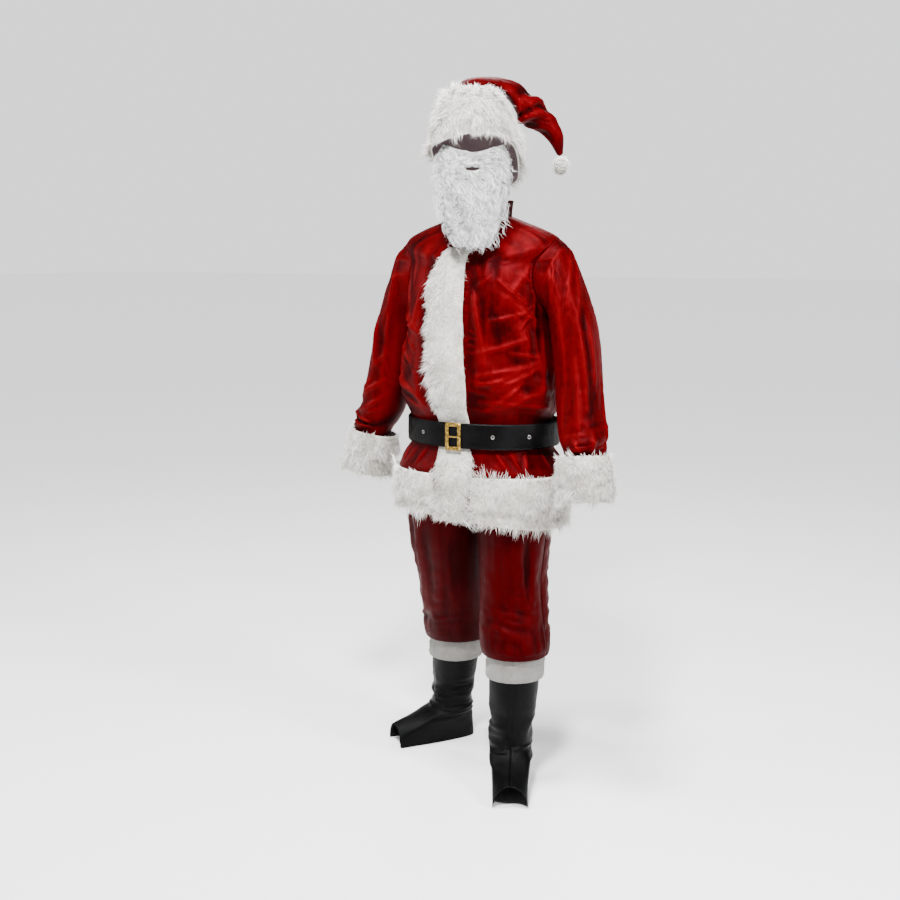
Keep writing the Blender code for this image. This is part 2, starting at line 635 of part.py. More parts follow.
def build_belt():
    """The strap, its buckle and prong, and three eyelets."""
    low, high = BELT_Z
    angles = 2 * math.pi * np.arange(40) / 40
    band_round("belt_strap", angles, 0.0, low, high, BELT_THICK, "vinyl", ring=True)
    front_y = float(belt_line(np.array([0.0]), BELT_THICK)[1][0]) - SEAM_GAP
    middle = (low + high) / 2 + BUCKLE_RISE
    rim(BUCKLE_OUTER, BUCKLE_WINDOW, BUCKLE_DEEP, front_y, BUCKLE_X, middle, "belt_buckle", "gold")
    reach = BUCKLE_OUTER[0] * 0.92
    prong_y = front_y - BUCKLE_DEEP - SEAM_GAP - PRONG_RADIUS
    bpy.ops.mesh.primitive_cone_add(
        vertices=10, radius1=PRONG_RADIUS, radius2=PRONG_RADIUS * 0.6, depth=2 * reach,
        location=(BUCKLE_X, prong_y, middle - CARRY_HEIGHT), rotation=(0, math.pi / 2, 0),
    )
    adopt(bpy.context.object, "belt_prong", "gold")
    for number, x in enumerate(EYELETS, start=1):
        share = (x - BELT_SHIFT) / (BELT_HALF[0] + BELT_THICK)
        angle = math.asin(math.copysign(abs(share) ** (BELT_ROUND / 2), share))
        here = np.array([float(v[0]) for v in belt_line(np.array([angle]), BELT_THICK)])
        near = np.array([float(v[0]) for v in belt_line(np.array([angle + 0.01]), BELT_THICK)])
        way = (near - here) / np.linalg.norm(near - here)
        away = np.array([way[1], -way[0]])
        place = here + away * (EYELET_WIRE + SEAM_GAP)
        bpy.ops.mesh.primitive_torus_add(
            major_radius=EYELET_RADIUS, minor_radius=EYELET_WIRE, major_segments=12, minor_segments=4,
            location=(place[0], place[1], (low + high) / 2 - CARRY_HEIGHT),
            rotation=(math.pi / 2, 0, math.atan2(way[1], way[0])),
        )
        adopt(bpy.context.object, f"belt_eyelet_{number}", "steel")


def adopt(thing, name, material):
    """Name a primitive, give it its material and move it to the suit's collection."""
    thing.name = name
    thing.data.materials.append(finish(material))
    thing.data.shade_smooth()
    for collection in list(thing.users_collection):
        collection.objects.unlink(thing)
    bpy.data.collections["suit"].objects.link(thing)
    return thing


# ---------------------------------------------------------------- trousers
def pelvis(angle, side, height):
    """The seat of the trousers as an oval round the body; the angle runs from the centre line outwards."""
    half, deep = (column(SEAT, height, i) for i in (1, 2))
    return side * (half * np.sin(angle) + SEAM_GAP), -deep * np.cos(angle)


def build_trouser_panel(name, side, table, back):
    """One panel: from the centre seam and inseam to the side seam, and from the waist to the gathered foot."""
    seat_rows = 5
    leg = through(table, 19)
    seat = np.repeat(leg[:1], seat_rows, axis=0)
    seat[:, 0] = np.linspace(WAIST_Z, CROTCH_Z, seat_rows + 1)[:-1]
    ring = np.concatenate([seat, leg])[:, None, :]
    share = np.linspace(0, 1, 8)[None, :]
    z, cx, cy, half, deep = (ring[..., i] + 0 * share for i in range(5))
    gap = 2 * SEAM_GAP / 0.09
    turn = np.clip(math.pi * (share - 0.5), gap - math.pi / 2, math.pi / 2 - gap)
    flip = -1 if back else 1
    foot_z = table[6][0]
    above_foot = bump(z, foot_z + 0.03, 0.035)
    thigh = bump(z, 0.60, 0.10)
    outer = np.clip(0.5 + 0.5 * np.sin(turn), 0, 1) * np.clip(np.cos(turn) * 4, 0, 1)
    fold = outer * (0.0045 * thigh * np.sin(4 * turn + 9 * z) + 0.0035 * above_foot * np.sin(8 * turn))
    leg_x = cx + side * (half + fold) * np.sin(turn)
    leg_y = cy - flip * (deep + fold) * np.cos(turn)
    angle = np.clip(share * math.pi / 2, 0, math.pi / 2 - gap)
    seat_x, seat_y = pelvis(angle, side, z)
    share_leg = np.clip((SEAT_Z - z) / (SEAT_Z - CROTCH_Z), 0, 1)
    share_leg = share_leg * share_leg * (3 - 2 * share_leg)
    x = (1 - share_leg) * seat_x + share_leg * leg_x
    y = (1 - share_leg) * flip * seat_y + share_leg * leg_y
    shell(name, np.stack([x, y, z], axis=-1), "velvet", CLOTH)


def build_trousers():
    """Four panels and a plain elastic waistband."""
    for side, table, word in ((1, LEG_LEFT, "left"), (-1, LEG_RIGHT, "right")):
        build_trouser_panel(f"trouser_front_{word}", side, table, back=False)
        build_trouser_panel(f"trouser_back_{word}", side, table, back=True)
    angles = 2 * math.pi * np.arange(28) / 28
    rows = []
    tall, thick = WAISTBAND
    for out, z in ((-thick, 0), (0.0, 0), (0.0, tall), (-thick, tall)):
        x, y = oval(angles, SEAT[0][1] + out, SEAT[0][2] + out, 2.0)
        rows.append(np.stack([x, y, 0 * x + WAIST_Z + SEAM_GAP + z], axis=-1))
    loft("trouser_waistband", np.stack(rows, axis=1), "velvet", ring=True)


# ---------------------------------------------------------------- boot covers
def shaft_centre(boot, height):
    """Middle of the shaft at the given heights; above its top edge the line goes straight up."""
    top_z = boot["cuff_z"] + BOOT_CUFF_HEIGHT - SHAFT_SINK
    share = np.clip((top_z - height) / (top_z - SHAFT_FOOT_Z), 0, 1)[:, None]
    flat = np.array(boot["top"]) * (1 - share) + np.array(boot["ankle"]) * share
    return np.column_stack([flat, height])


def boot_half(boot, side, outer):
    """Grid of one half of a boot cover: shaft rows, then curves that reach the toe edge and the floor."""
    turn = math.radians(boot["toe_out"])
    ahead = np.array([math.sin(turn), -math.cos(turn), 0])
    aside = np.array([math.cos(turn), math.sin(turn), 0]) * (side if outer else -side)
    top = np.array([*boot["top"], boot["cuff_z"] + BOOT_CUFF_HEIGHT - SHAFT_SINK])
    ankle = np.array([*boot["ankle"], SHAFT_FOOT_Z])
    theta = np.linspace(0, math.pi, 9)
    ring = np.cos(theta)[:, None] * ahead + np.sin(theta)[:, None] * aside
    shares = np.linspace(0, 1, 6)
    rows = []
    for share in shares:
        radius = float(column(SHAFT, np.array(share), 1))
        wave = 0.0022 * bump(share, 0.85, 0.22) * np.sin(3 * theta + 16 * share)
        rows.append(top + (ankle - top) * share + ring * (radius + wave)[:, None])
    start = rows[-1]
    at_toe = np.clip(theta / TOE_ANGLE, 0, 1) * math.pi / 2
    on_floor = np.clip((theta - TOE_ANGLE) / (math.pi - TOE_ANGLE), 0, 1) * math.pi / 2
    reach = FOOT_FRONT - (FOOT_FRONT + FOOT_BACK) * np.sin(on_floor) ** 1.2
    half = FOOT_HALF * np.sin(at_toe) * np.cos(on_floor) ** 0.45
    lift = FOOT_CLEAR + FOOT_TOP_Z * np.cos(at_toe)
    floor_ankle = np.array([*boot["ankle"], 0])
    end = floor_ankle + reach[:, None] * ahead + half[:, None] * aside
    end[:, 2] = lift
    toward = np.cos(at_toe)[:, None] * (ahead * 0.94 + np.array([0, 0, -0.34]))
    toward = toward + (1 - np.cos(at_toe))[:, None] * np.array([0, 0, -1.0])
    pull = start + np.array([0, 0, -0.040])
    lead = end - toward * 0.050
    for t in np.linspace(0, 1, 8)[1:]:
        point = (
            (1 - t) ** 3 * start + 3 * t * (1 - t) ** 2 * pull + 3 * t * t * (1 - t) * lead + t ** 3 * end
        )
        crease = 0.0030 * bump(t, 0.22, 0.16) * np.sin(2 * theta + 14 * t) * np.sin(theta)
        rows.append(point + ring * crease[:, None])
    grid = np.stack(rows)
    grid[:, [0, -1]] += aside * SEAM_ALLOWANCE
    return grid


def build_boot(word, boot, side):
    """A vinyl boot cover in two halves, open under the foot, and its plush cuff."""
    for outer, which in ((True, "outer"), (False, "inner")):
        shell(f"boot_{word}_{which}", boot_half(boot, side, outer), "vinyl", VINYL)
    count = 22
    sections = []
    for number in range(count):
        turn = 2 * math.pi * number / count
        away = np.array([math.cos(turn), math.sin(turn), 0])
        bulge = 0.0012 * math.sin(3 * turn + side)
        inner, outer_r = BOOT_CUFF_RADIUS - PLUSH, BOOT_CUFF_RADIUS + bulge
        tall = BOOT_CUFF_HEIGHT
        lift = np.array([0.0, 0.002, 0.024, 0.050, tall - 0.002, tall, tall - SHAFT_SINK])
        centre = shaft_centre(boot, boot["cuff_z"] + lift)
        radius = np.array([inner, outer_r - 0.001, outer_r, outer_r, outer_r - 0.001, inner, inner])
        sections.append(centre + away * radius[:, None])
    loft(f"boot_cuff_{word}", np.array(sections), "fur", ring=True)


# ---------------------------------------------------------------- beard
def head_point(aside, back, height):
    """World place of a point given from the middle of the head: towards its left, to its back, and up."""
    left = np.array([math.cos(HEAD_TURN), math.sin(HEAD_TURN)])
    rear = np.array([-math.sin(HEAD_TURN), math.cos(HEAD_TURN)])
    flat = HEAD_CENTRE + np.asarray(aside)[..., None] * left + np.asarray(back)[..., None] * rear
    return np.concatenate([flat, np.asarray(height)[..., None]], axis=-1)


def beard_surface(angle, level):
    """The beard's outer face; the angle runs from the chin line to the ears."""
    half, ahead, back = (column(BEARD, level, i) for i in (1, 2, 3))
    curl = 0.0030 * np.sin(7 * angle + 42 * level) * bump(level, 1.56, 0.09)
    aside = (half + curl) * np.sin(angle)
    rear = -(ahead + curl - back * (1 - np.cos(angle)))
    top = bump(level, 1.716, 0.030)
    height = level + top * (0.004 * bump(np.abs(angle), 1.20, 0.25) - 0.020 * bump(angle, 0, 0.68))
    return aside, rear, height


def build_beard():
    """Beard and moustache in one piece with an open mouth, and the elastic that holds it."""
    levels = np.concatenate([np.linspace(1.716, MOUTH_Z, 4), np.linspace(MOUTH_Z, 1.440, 11)[1:]])
    angles = np.linspace(-EAR_ANGLE, EAR_ANGLE, 17)
    aside, rear, height = beard_surface(angles[None, :], levels[:, None] + 0 * angles[None, :])
    row, col = np.meshgrid(np.arange(len(levels)) - 3, np.arange(17) - 8, indexing="ij")
    edge = np.maximum(np.abs(row), np.abs(col) / 2) == 1
    edge &= (np.abs(row) <= 1) & (np.abs(col) <= 2)
    angle = np.arctan2(-row, col / 2)
    aside = np.where(edge, MOUTH_HALF[0] * np.cos(angle), aside)
    height = np.where(edge, MOUTH_Z + MOUTH_HALF[1] * np.sin(angle), height)
    thing = shell("beard", head_point(aside, rear, height), "fur", BEARD_THICK)
    body = bmesh.new()
    body.from_mesh(thing.data)
    body.verts.ensure_lookup_table()
    inside = (np.abs(row) < 1) & (np.abs(col) < 2)
    doomed = [body.verts[int(i)] for i in np.flatnonzero(inside.reshape(-1))]
    bmesh.ops.delete(body, geom=doomed, context="VERTS")
    body.to_mesh(thing.data)
    body.free()
    side, rear_end, _ = beard_surface(np.array([EAR_ANGLE]), np.array([ELASTIC_Z]))
    start = (float(side[0]) - BEARD_THICK / 2, float(rear_end[0]) + 0.0032)
    half = [start, (0.0925, 0.010), (0.084, 0.055), (0.050, 0.088), (0.0, 0.099)]
    route = [(x, y) for x, y in half] + [(-x, y) for x, y in half[-2::-1]]
    path = through(route, 21)
    tube = bpy.data.curves.new("beard_elastic", "CURVE")
    tube.dimensions = "3D"
    tube.bevel_depth = ELASTIC_RADIUS
    tube.bevel_resolution = 2
    tube.use_fill_caps = True
    line = tube.splines.new("POLY")
    line.points.add(len(path) - 1)
    drop = 0.012 * np.sin(np.linspace(0, math.pi, len(path)))
    places = head_point(path[:, 0], path[:, 1], ELASTIC_Z - drop) - (0, 0, CARRY_HEIGHT)
    line.points.foreach_set("co", np.column_stack([places, np.ones(len(places))]).ravel())
    tube.materials.append(finish("elastic"))
    thing = bpy.data.objects.new("beard_elastic", tube)
    bpy.data.collections["suit"].objects.link(thing)


# ---------------------------------------------------------------- hat
def brim_height(turn, index):
    """Lower (1) or upper (2) edge height of the brim at an angle from the face."""
    signed = np.degrees((turn + math.pi) % (2 * math.pi) - math.pi)
    return column(BRIM, signed, index)


def build_hat():
    """Fur brim, velvet crown with its falling tail, and the pompom."""
    count = 20
    turns = 2 * math.pi * np.arange(count) / count
    shares = np.array([0.0, 0.30, 0.65, 1.0])
    pile = np.array([0.45, 1.00, 1.05, 0.50]) * BRIM_FUR
    sections = []
    for number, turn in enumerate(turns):
        low, high = (float(brim_height(turn, i)) for i in (1, 2))
        z = low + (high - low) * shares
        flare = BRIM_FLARE * np.clip((high - 0.045 - z) / 0.09, 0, None)
        wide, deep = (size * np.array(BRIM_DOME) + flare for size in BRIM_INNER)
        x0, y0 = oval(turn, wide, deep, 2.0)
        lumps = tufts(number * 1.3, shares * 5, 3.0, 0.0030) * (0, 1, 1, 0.6)
        x1, y1 = oval(turn, wide + pile + lumps, deep + pile + lumps, 2.0)
        inner = head_point(x0, y0, z)
        outer = head_point(x1, y1, z + np.array([0.004 * math.sin(2.7 * number), 0, 0, 0]))
        sections.append(np.concatenate([inner, outer[::-1]]))
    loft("hat_brim", np.array(sections), "fur", ring=True)

    tail = np.array([math.cos(TAIL_TURN), math.sin(TAIL_TURN), 0])
    behind = np.array([-math.sin(TAIL_TURN), math.cos(TAIL_TURN), 0])
    rings = []
    rest = 0.6 * pile[-1]
    x, y = oval(turns, BRIM_INNER[0] * BRIM_DOME[-1] + rest, BRIM_INNER[1] * BRIM_DOME[-1] + rest, 2.0)
    rings.append(head_point(x, y, brim_height(turns, 2) + 2 * SEAM_ALLOWANCE))
    around = np.stack([np.sin(turns) * math.cos(HEAD_TURN) + np.cos(turns) * math.sin(HEAD_TURN),
                       np.sin(turns) * math.sin(HEAD_TURN) - np.cos(turns) * math.cos(HEAD_TURN),
                       0 * turns], axis=-1)
    for fall, deep, z, radius, wide, lean in CROWN:
        lean = math.radians(lean)
        along = (around @ tail)[:, None]
        across = (around @ behind)[:, None]
        centre = fall * tail + deep * behind + np.array([0, 0, z])
        tilted = tail * math.cos(lean) - np.array([0, 0, math.sin(lean)])
        rings.append(centre + radius * along * tilted + wide * across * behind)
    rows = 16
    stack = np.stack(rings)
    grid = through(stack.reshape(len(stack), -1), rows).reshape(rows, count, 3)
    middle = grid.mean(axis=1, keepdims=True)
    away = grid - middle
    away /= np.linalg.norm(away, axis=2, keepdims=True)
    step = np.linspace(0, 1, rows)[:, None]
    crumple = 0.0040 * bump(step, 0.60, 0.16) * np.sin(3 * turns[None, :] + 40 * step)
    grid = grid + away * crumple[..., None]
    pole = grid[-1].mean(axis=0) + (grid[-1].mean(axis=0) - grid[-2].mean(axis=0)) * 0.4
    shell("hat_crown", grid, "velvet", CLOTH, wrap=True, pole=pole)

    bpy.ops.mesh.primitive_ico_sphere_add(subdivisions=3, radius=POMPOM_RADIUS, location=(0, 0, 0))
    ball = adopt(bpy.context.object, "hat_pompom", "fur")
    points = np.empty(len(ball.data.vertices) * 3)
    ball.data.vertices.foreach_get("co", points)
    points = points.reshape(-1, 3)
    way = points / np.linalg.norm(points, axis=1, keepdims=True)
    lump = 1 + 0.05 * np.sin(way[:, 0] * 9) * np.cos(way[:, 1] * 8 + 1) + 0.04 * np.sin(way[:, 2] * 11)
    points = points * lump[:, None] + np.array(POMPOM) - (0, 0, CARRY_HEIGHT)
    # POMPOM is given in the tail's own directions: along the fall, behind it and up
    turned = points.copy()
    turned[:, :2] = points[:, :1] * tail[:2] + points[:, 1:2] * behind[:2]
    ball.data.vertices.foreach_set("co", turned.ravel())


def main():
    """Build the whole suit."""
    clear_scene()
    suit = bpy.data.collections.new("suit")
    bpy.context.scene.collection.children.link(suit)
    build_jacket_body()
    build_sleeve("jacket_sleeve_left", 1, SLEEVE_LEFT, CUFF_LEFT)
    build_sleeve("jacket_sleeve_right", -1, SLEEVE_RIGHT, CUFF_RIGHT)
    build_collar()
    build_placket()
    build_hem()
    build_cuffs()
    build_belt()
    build_trousers()
    build_boot("left", BOOT_LEFT, 1)
    build_boot("right", BOOT_RIGHT, -1)
    build_beard()
    build_hat()


main()
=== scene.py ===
"""Santa suit: velvet, long fur, curled beard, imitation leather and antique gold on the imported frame.

Heights in the tables are above the soles; CARRY lowers them to the frame's origin between the shoulders.
Lengths are in metres, and in millimetres inside mm(). The suit faces -Y and +X is the wearer's left.
"""
from __future__ import annotations

import logging
import math
from dataclasses import dataclass
from enum import Enum
from typing import Callable, Sequence

import bmesh
import bpy
import numpy as np
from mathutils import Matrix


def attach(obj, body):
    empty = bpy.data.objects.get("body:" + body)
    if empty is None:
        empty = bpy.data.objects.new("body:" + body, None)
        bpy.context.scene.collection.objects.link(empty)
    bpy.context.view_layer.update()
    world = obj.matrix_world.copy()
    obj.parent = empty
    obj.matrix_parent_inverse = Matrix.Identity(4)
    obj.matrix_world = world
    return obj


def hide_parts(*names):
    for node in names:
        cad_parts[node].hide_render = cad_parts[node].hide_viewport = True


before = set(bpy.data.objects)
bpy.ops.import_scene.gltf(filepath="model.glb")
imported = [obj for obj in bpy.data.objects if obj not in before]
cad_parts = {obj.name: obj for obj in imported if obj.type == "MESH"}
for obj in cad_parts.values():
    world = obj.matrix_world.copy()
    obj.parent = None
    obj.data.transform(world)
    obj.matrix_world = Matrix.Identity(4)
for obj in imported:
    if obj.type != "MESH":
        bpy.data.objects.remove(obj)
Array = np.ndarray
Rows = Sequence[Sequence[float]]
Place = tuple[float, float, float]
Values = Array | float
Mesh, Node, Socket = bpy.types.Mesh, bpy.types.Node, bpy.types.NodeSocket
log = logging.getLogger("santa_suit")

CARRY = np.array([0.0, 0.0, 1.52])  # the frame's origin above the soles
CLOTH, VINYL = 0.0016, 0.0015  # thickness at a wall's edges
SEAM, ALLOWANCE = 0.0003, 0.0004  # gap at a seam, and half the gap where two curved walls meet
TOUCH = 0.00004  # gap at a seam that no light may pass
TURNED = 0.0012  # depth of a sewn edge
FOLD_ROOM, FOLD_RANGE = 0.004, 0.009  # room for folds inside a wall, and their height from valley to ridge
TURN = 2 * math.pi
UP = np.array([0.0, 0.0, 1.0])
LATTICE = 64  # points of the random lattice each way
COLOUR, VALUE = "NodeSocketColor", "NodeSocketFloat"


class Side(Enum):
    """Which of a pair a piece is, by the sign of its X."""

    LEFT = 1
    RIGHT = -1

    @property
    def word(self) -> str:
        """The side's name in the nodes' names."""
        return self.name.lower()


class Held(str, Enum):
    """How a sheet of cloth is held."""

    HUNG = "hung"
    GATHERED = "gathered"
    DRAPED = "draped"
    FOLDED = "folded"


# ---- numbers into shapes
def mm(*rows: Sequence[float]) -> Rows:
    """Rows given in millimetres, as rows in metres."""
    return tuple(tuple(value / 1000 for value in row) for row in rows)


def column(rows: Rows | Array, at: Values, index: int) -> Array:
    """Smooth values of one table column: cubic pieces through the rows, held at the ends.

    Args:
        rows: the table, its first column the place.
        at: places to read.
        index: which column to read.

    Returns:
        The column's values at those places.
    """
    table = np.array(rows, float)
    table = table[np.argsort(table[:, 0])]
    x, y = table[:, 0], table[:, index]
    slope = np.gradient(y, x)
    at = np.clip(at, x[0], x[-1])
    k = np.clip(np.searchsorted(x, at, side="right") - 1, 0, len(x) - 2)
    width = x[k + 1] - x[k]
    t = (at - x[k]) / width
    rest = 1 - t
    ends = y[k] * (1 + 2 * t) * rest**2 + y[k + 1] * t * t * (3 - 2 * t)
    return ends + width * t * rest * (slope[k] * rest - slope[k + 1] * t)


def through(points: Array, steps: int) -> Array:
    """Points along one smooth curve through rows of numbers, evenly spaced by row number."""
    points = np.asarray(points, float)
    table = np.column_stack([np.arange(len(points)), points])
    where = np.linspace(0, len(points) - 1, steps)
    return np.column_stack([column(table, where, i + 1) for i in range(points.shape[1])])


def bump(x: Values, centre: float, width: float) -> Array:
    """A bell of height 1: exp(-((x - centre) / width)^2)."""
    return np.exp(-(((x - centre) / width) ** 2))


def ease(x: Values, low: float, high: float) -> Array:
    """0 below low, 1 above high, smooth between: 3t^2 - 2t^3."""
    t = np.clip((x - low) / (high - low), 0, 1)
    return t * t * (3 - 2 * t)


def unit(vectors: Array) -> Array:
    """Vectors brought to length 1."""
    return vectors / (np.linalg.norm(vectors, axis=-1, keepdims=True) + 1e-12)


def full_turn(count: int) -> Array:
    """Angles of points spaced evenly round a full turn."""
    return TURN * np.arange(count) / count


def oval(angle: Values, wide: Values, deep: Values, power: Values) -> tuple[Array, Array]:
    """Superellipse offsets; the angle runs from the front (-Y) towards the wearer's left."""
    s, c = np.sin(angle), np.cos(angle)
    return wide * np.sign(s) * np.abs(s) ** (2 / power), -deep * np.sign(c) * np.abs(c) ** (2 / power)


def rays(angle: Array) -> Array:
    """Level directions at angles from the front (-Y) towards the wearer's left."""
    return np.stack([np.sin(angle), -np.cos(angle), 0 * angle], axis=-1)


def wander(x: Array, y: Array, seed: int, wrap: int = LATTICE) -> Array:
    """Smooth random hills from -1 to 1: a lattice of seeded numbers, eased between its points.

    Args:
        x: first coordinate, in lattice steps; it repeats every wrap steps.
        y: second coordinate, in lattice steps.
        seed: which lattice.
        wrap: period of x, at most LATTICE.

    Returns:
        The hills' heights.
    """
    table = np.random.default_rng(seed).uniform(-1, 1, (LATTICE, LATTICE))
    x, y = np.broadcast_arrays(x, y)
    i, j = np.floor(x).astype(int), np.floor(y).astype(int)
    fx, fy = ease(x - i, 0, 1), ease(y - j, 0, 1)
    i0, i1, j0, j1 = i % wrap, (i + 1) % wrap, j % LATTICE, (j + 1) % LATTICE
    low = table[i0, j0] * (1 - fx) + table[i1, j0] * fx
    high = table[i0, j1] * (1 - fx) + table[i1, j1] * fx
    return low * (1 - fy) + high * fy


def crests(x: Array, y: Array, seed: int, wrap: int = LATTICE) -> Array:
    """Hills with sharp crests, from -1 to 1: 1 - 2 |wander|, slightly rounded."""
    return 1 - 2 * np.sqrt(wander(x, y, seed, wrap) ** 2 + 0.004)


def creases(x: Array, y: Array, rows: Rows) -> Array:
    """Folds along straight lines on a cloth's chart: a bell across each line, an arch along it.

    Args:
        x: chart coordinate in metres.
        y: chart coordinate in metres.
        rows: x and y of both ends, half width and height of each fold, in metres.

    Returns:
        Height above the plain cloth.
    """
    total = np.zeros(np.broadcast(x, y).shape)
    for x0, y0, x1, y1, half, high in rows:
        run, rise = x1 - x0, y1 - y0
        square = run * run + rise * rise
        share = np.clip(((x - x0) * run + (y - y0) * rise) / square, 0, 1)
        away = np.hypot(x - x0 - share * run, y - y0 - share * rise)
        arch = 0.35 + 0.65 * np.sin(math.pi * np.clip(share, 0.02, 0.98))
        total += high * arch * np.exp(-((away / half) ** 1.6))
    return total


# ---- shapes into meshes
def outward(grid: Array) -> float:
    """Positive where the grid's own cross product points away from its rows' middles."""
    middle = grid.mean(axis=1, keepdims=True)
    across = np.roll(grid, -1, axis=1) - grid
    along = np.gradient(grid, axis=0)
    return float((np.cross(across, along)[:, :-1] * (grid - middle)[:, :-1]).sum())


def closed(grid: Array, wrap: bool) -> Array:
    """The grid with its first column repeated at the end where it goes all round."""
    return np.concatenate([grid, grid[:, :1]], axis=1) if wrap else grid


def normals(grid: Array, wrap: bool = False) -> Array:
    """Outward directions of length 1 at the points of a closed grid."""
    whole = closed(grid, wrap)
    return unit(np.cross(np.gradient(whole, axis=1), np.gradient(whole, axis=0)) * np.sign(outward(grid)))


def turned_in(grid: Array) -> Array:
    """The grid with both side edges turned inwards, as a sewn edge is."""
    inwards = -TURNED * normals(grid)
    return np.concatenate([grid[:, :1] + inwards[:, 1:2], grid, grid[:, -1:] + inwards[:, -2:-1]], axis=1)


def cells(table: Array) -> Array:
    """The four corners of every cell of a table."""
    return np.stack([table[:-1, :-1], table[:-1, 1:], table[1:, 1:], table[1:, :-1]], axis=2)


def chart_of(grid: Array, wrap: bool) -> Array:
    """Metres along the columns and the rows for every point of a closed grid."""
    u = np.cumsum(np.r_[0, np.linalg.norm(np.diff(closed(grid, wrap), axis=1), axis=2).mean(axis=0)])
    v = np.cumsum(np.r_[0, np.linalg.norm(np.diff(grid, axis=0), axis=2).mean(axis=1)])
    return np.stack(np.meshgrid(u, v), axis=-1)


def solid(name: str, points: Array, faces: list, chart: Array | None = None) -> Mesh:
    """A smooth mesh, lowered to the frame's origin; a chart holds a place for each corner of its faces."""
    mesh = bpy.data.meshes.new(name)
    mesh.from_pydata((points - CARRY).tolist(), [], faces)
    if chart is not None:
        mesh.uv_layers.new(name="chart").data.foreach_set("uv", chart.ravel())
    mesh.shade_smooth()
    return mesh


def surface(name: str, grid: Array, wrap: bool = False, pole: Array | None = None) -> Mesh:
    """Quads over a grid of points, faces outwards, with a UV map in metres along its columns and rows.

    Args:
        name: the mesh's name.
        grid: points [row, column, xyz] in heights above the soles.
        wrap: whether the last column meets the first.
        pole: a point that closes the last row.

    Returns:
        The mesh, lowered to the frame's origin.
    """
    rows, columns = grid.shape[:2]
    ring = closed(np.arange(rows * columns).reshape(rows, columns), wrap)
    chart = chart_of(grid, wrap)
    faces = cells(ring[..., None]).reshape(-1, 4)
    places = cells(chart).reshape(-1, 4, 2)
    if outward(grid) < 0:
        faces, places = faces[:, ::-1], places[:, ::-1]
    points, lists, flat = grid.reshape(-1, 3), faces.tolist(), places.reshape(-1, 2)
    if pole is not None:
        points = np.vstack([points, pole])
        fan = np.stack([ring[-1, :-1], ring[-1, 1:], np.full(ring.shape[1] - 1, len(points) - 1)], axis=1)
        spots = np.stack([chart[-1, :-1], chart[-1, 1:], chart[-1, :-1]], axis=1)
        if outward(grid) < 0:
            fan, spots = fan[:, ::-1], spots[:, ::-1]
        lists += fan.tolist()
        flat = np.vstack([flat, spots.reshape(-1, 2)])
    return solid(name, points, lists, flat)


def wall(name: str, grid: Array, wrap: bool = False, thick: float = CLOTH, pole: Array | None = None,
         raised: Values = 0.0) -> Mesh:
    """A cloth wall: an outer side through every point, an inner one through every third, joined at the edges.

    The inner side lies the wall's thickness under the outer one at the edges and FOLD_ROOM more between
    them, so that no fold reaches through it.

    Args:
        name: the mesh's name.
        grid: points [row, column, xyz] of the outer side in heights above the soles.
        wrap: whether the last column meets the first.
        thick: thickness at the edges.
        pole: a point that closes the last row.
        raised: height of the folds at every point; attribute "raised" has it from 0 (valley) to 1 (ridge),
            which the velvet turns into painted shade in the valleys and painted highlight on the ridges.

    Returns:
        The mesh, lowered to the frame's origin, with a UV map in metres.
    """
    whole = closed(grid, wrap)
    rows, columns = whole.shape[:2]
    count = grid.shape[0] * grid.shape[1]
    number = closed(np.arange(count).reshape(grid.shape[:2]), wrap)
    down, over = (np.unique(np.r_[0:n:3, n - 1]) for n in (rows, columns))
    middle = np.minimum(np.arange(rows), rows if pole is not None else np.arange(rows)[::-1])[:, None] / 4
    if not wrap:
        middle = np.minimum(middle, np.minimum(np.arange(columns), np.arange(columns)[::-1])[None] / 4)
    depth = thick + FOLD_ROOM * np.clip(middle + 0 * whole[..., 0], 0, 1)
    inside = (whole - depth[..., None] * normals(grid, wrap))[np.ix_(down, over)]
    inside = inside[:, :-1] if wrap else inside
    points = np.vstack([grid.reshape(-1, 3), inside.reshape(-1, 3)])
    under = closed(np.arange(count, len(points)).reshape(inside.shape[:2]), wrap)
    chart = chart_of(grid, wrap)
    faces = cells(number[..., None]).reshape(-1, 4).tolist()
    faces += cells(under[..., None]).reshape(-1, 4)[:, ::-1].tolist()
    lower = cells(chart[np.ix_(down, over)]).reshape(-1, 4, 2)[:, ::-1]
    spots = [cells(chart).reshape(-1, 2), lower.reshape(-1, 2)]
    rims = [(number[0], under[0], over, chart[0], True)]
    if pole is None:
        rims.append((number[-1], under[-1], over, chart[-1], False))
    if not wrap:
        rims.append((number[:, 0], under[:, 0], down, chart[:, 0], False))
        rims.append((number[:, -1], under[:, -1], down, chart[:, -1], True))
    for outer, inner, stops, edge, back in rims:
        for k, (a, b) in enumerate(zip(stops, stops[1:])):
            face = [*outer[a:b + 1], inner[k + 1], inner[k]]
            spot = np.vstack([edge[a:b + 1], edge[b], edge[a]])
            faces.append([int(n) for n in (face[::-1] if back else face)])
            spots.append(spot[::-1] if back else spot)
    if pole is not None:
        tips = len(points) + np.arange(2)
        points = np.vstack([points, pole, pole + 2 * thick * UP])
        ends = ((number[-1], tips[0], 1, chart[-1]), (under[-1], tips[1], -1, chart[-1][over]))
        for ring, tip, order, edge in ends:
            fan = np.stack([ring[:-1], ring[1:], np.full(len(ring) - 1, tip)], axis=1)[:, ::order]
            faces += fan.tolist()
            spots.append(np.stack([edge[:-1], edge[1:], edge[:-1]], axis=1)[:, ::order].reshape(-1, 2))
    mesh = solid(name, points, faces, np.vstack(spots))
    # Fold heights from 0 (valley) to 1 (ridge), which the velvet turns into painted shade and painted
    # highlight.
    ridge = np.clip(0.5 + (raised + 0 * grid[..., 0]).ravel() / FOLD_RANGE, 0, 1)
    ridge = np.concatenate([ridge, np.full(len(points) - len(ridge), 0.4)])
    mesh.attributes.new("raised", "FLOAT", "POINT").data.foreach_set("value", ridge)
    if outward(grid) < 0:
        mesh.flip_normals()
    return mesh


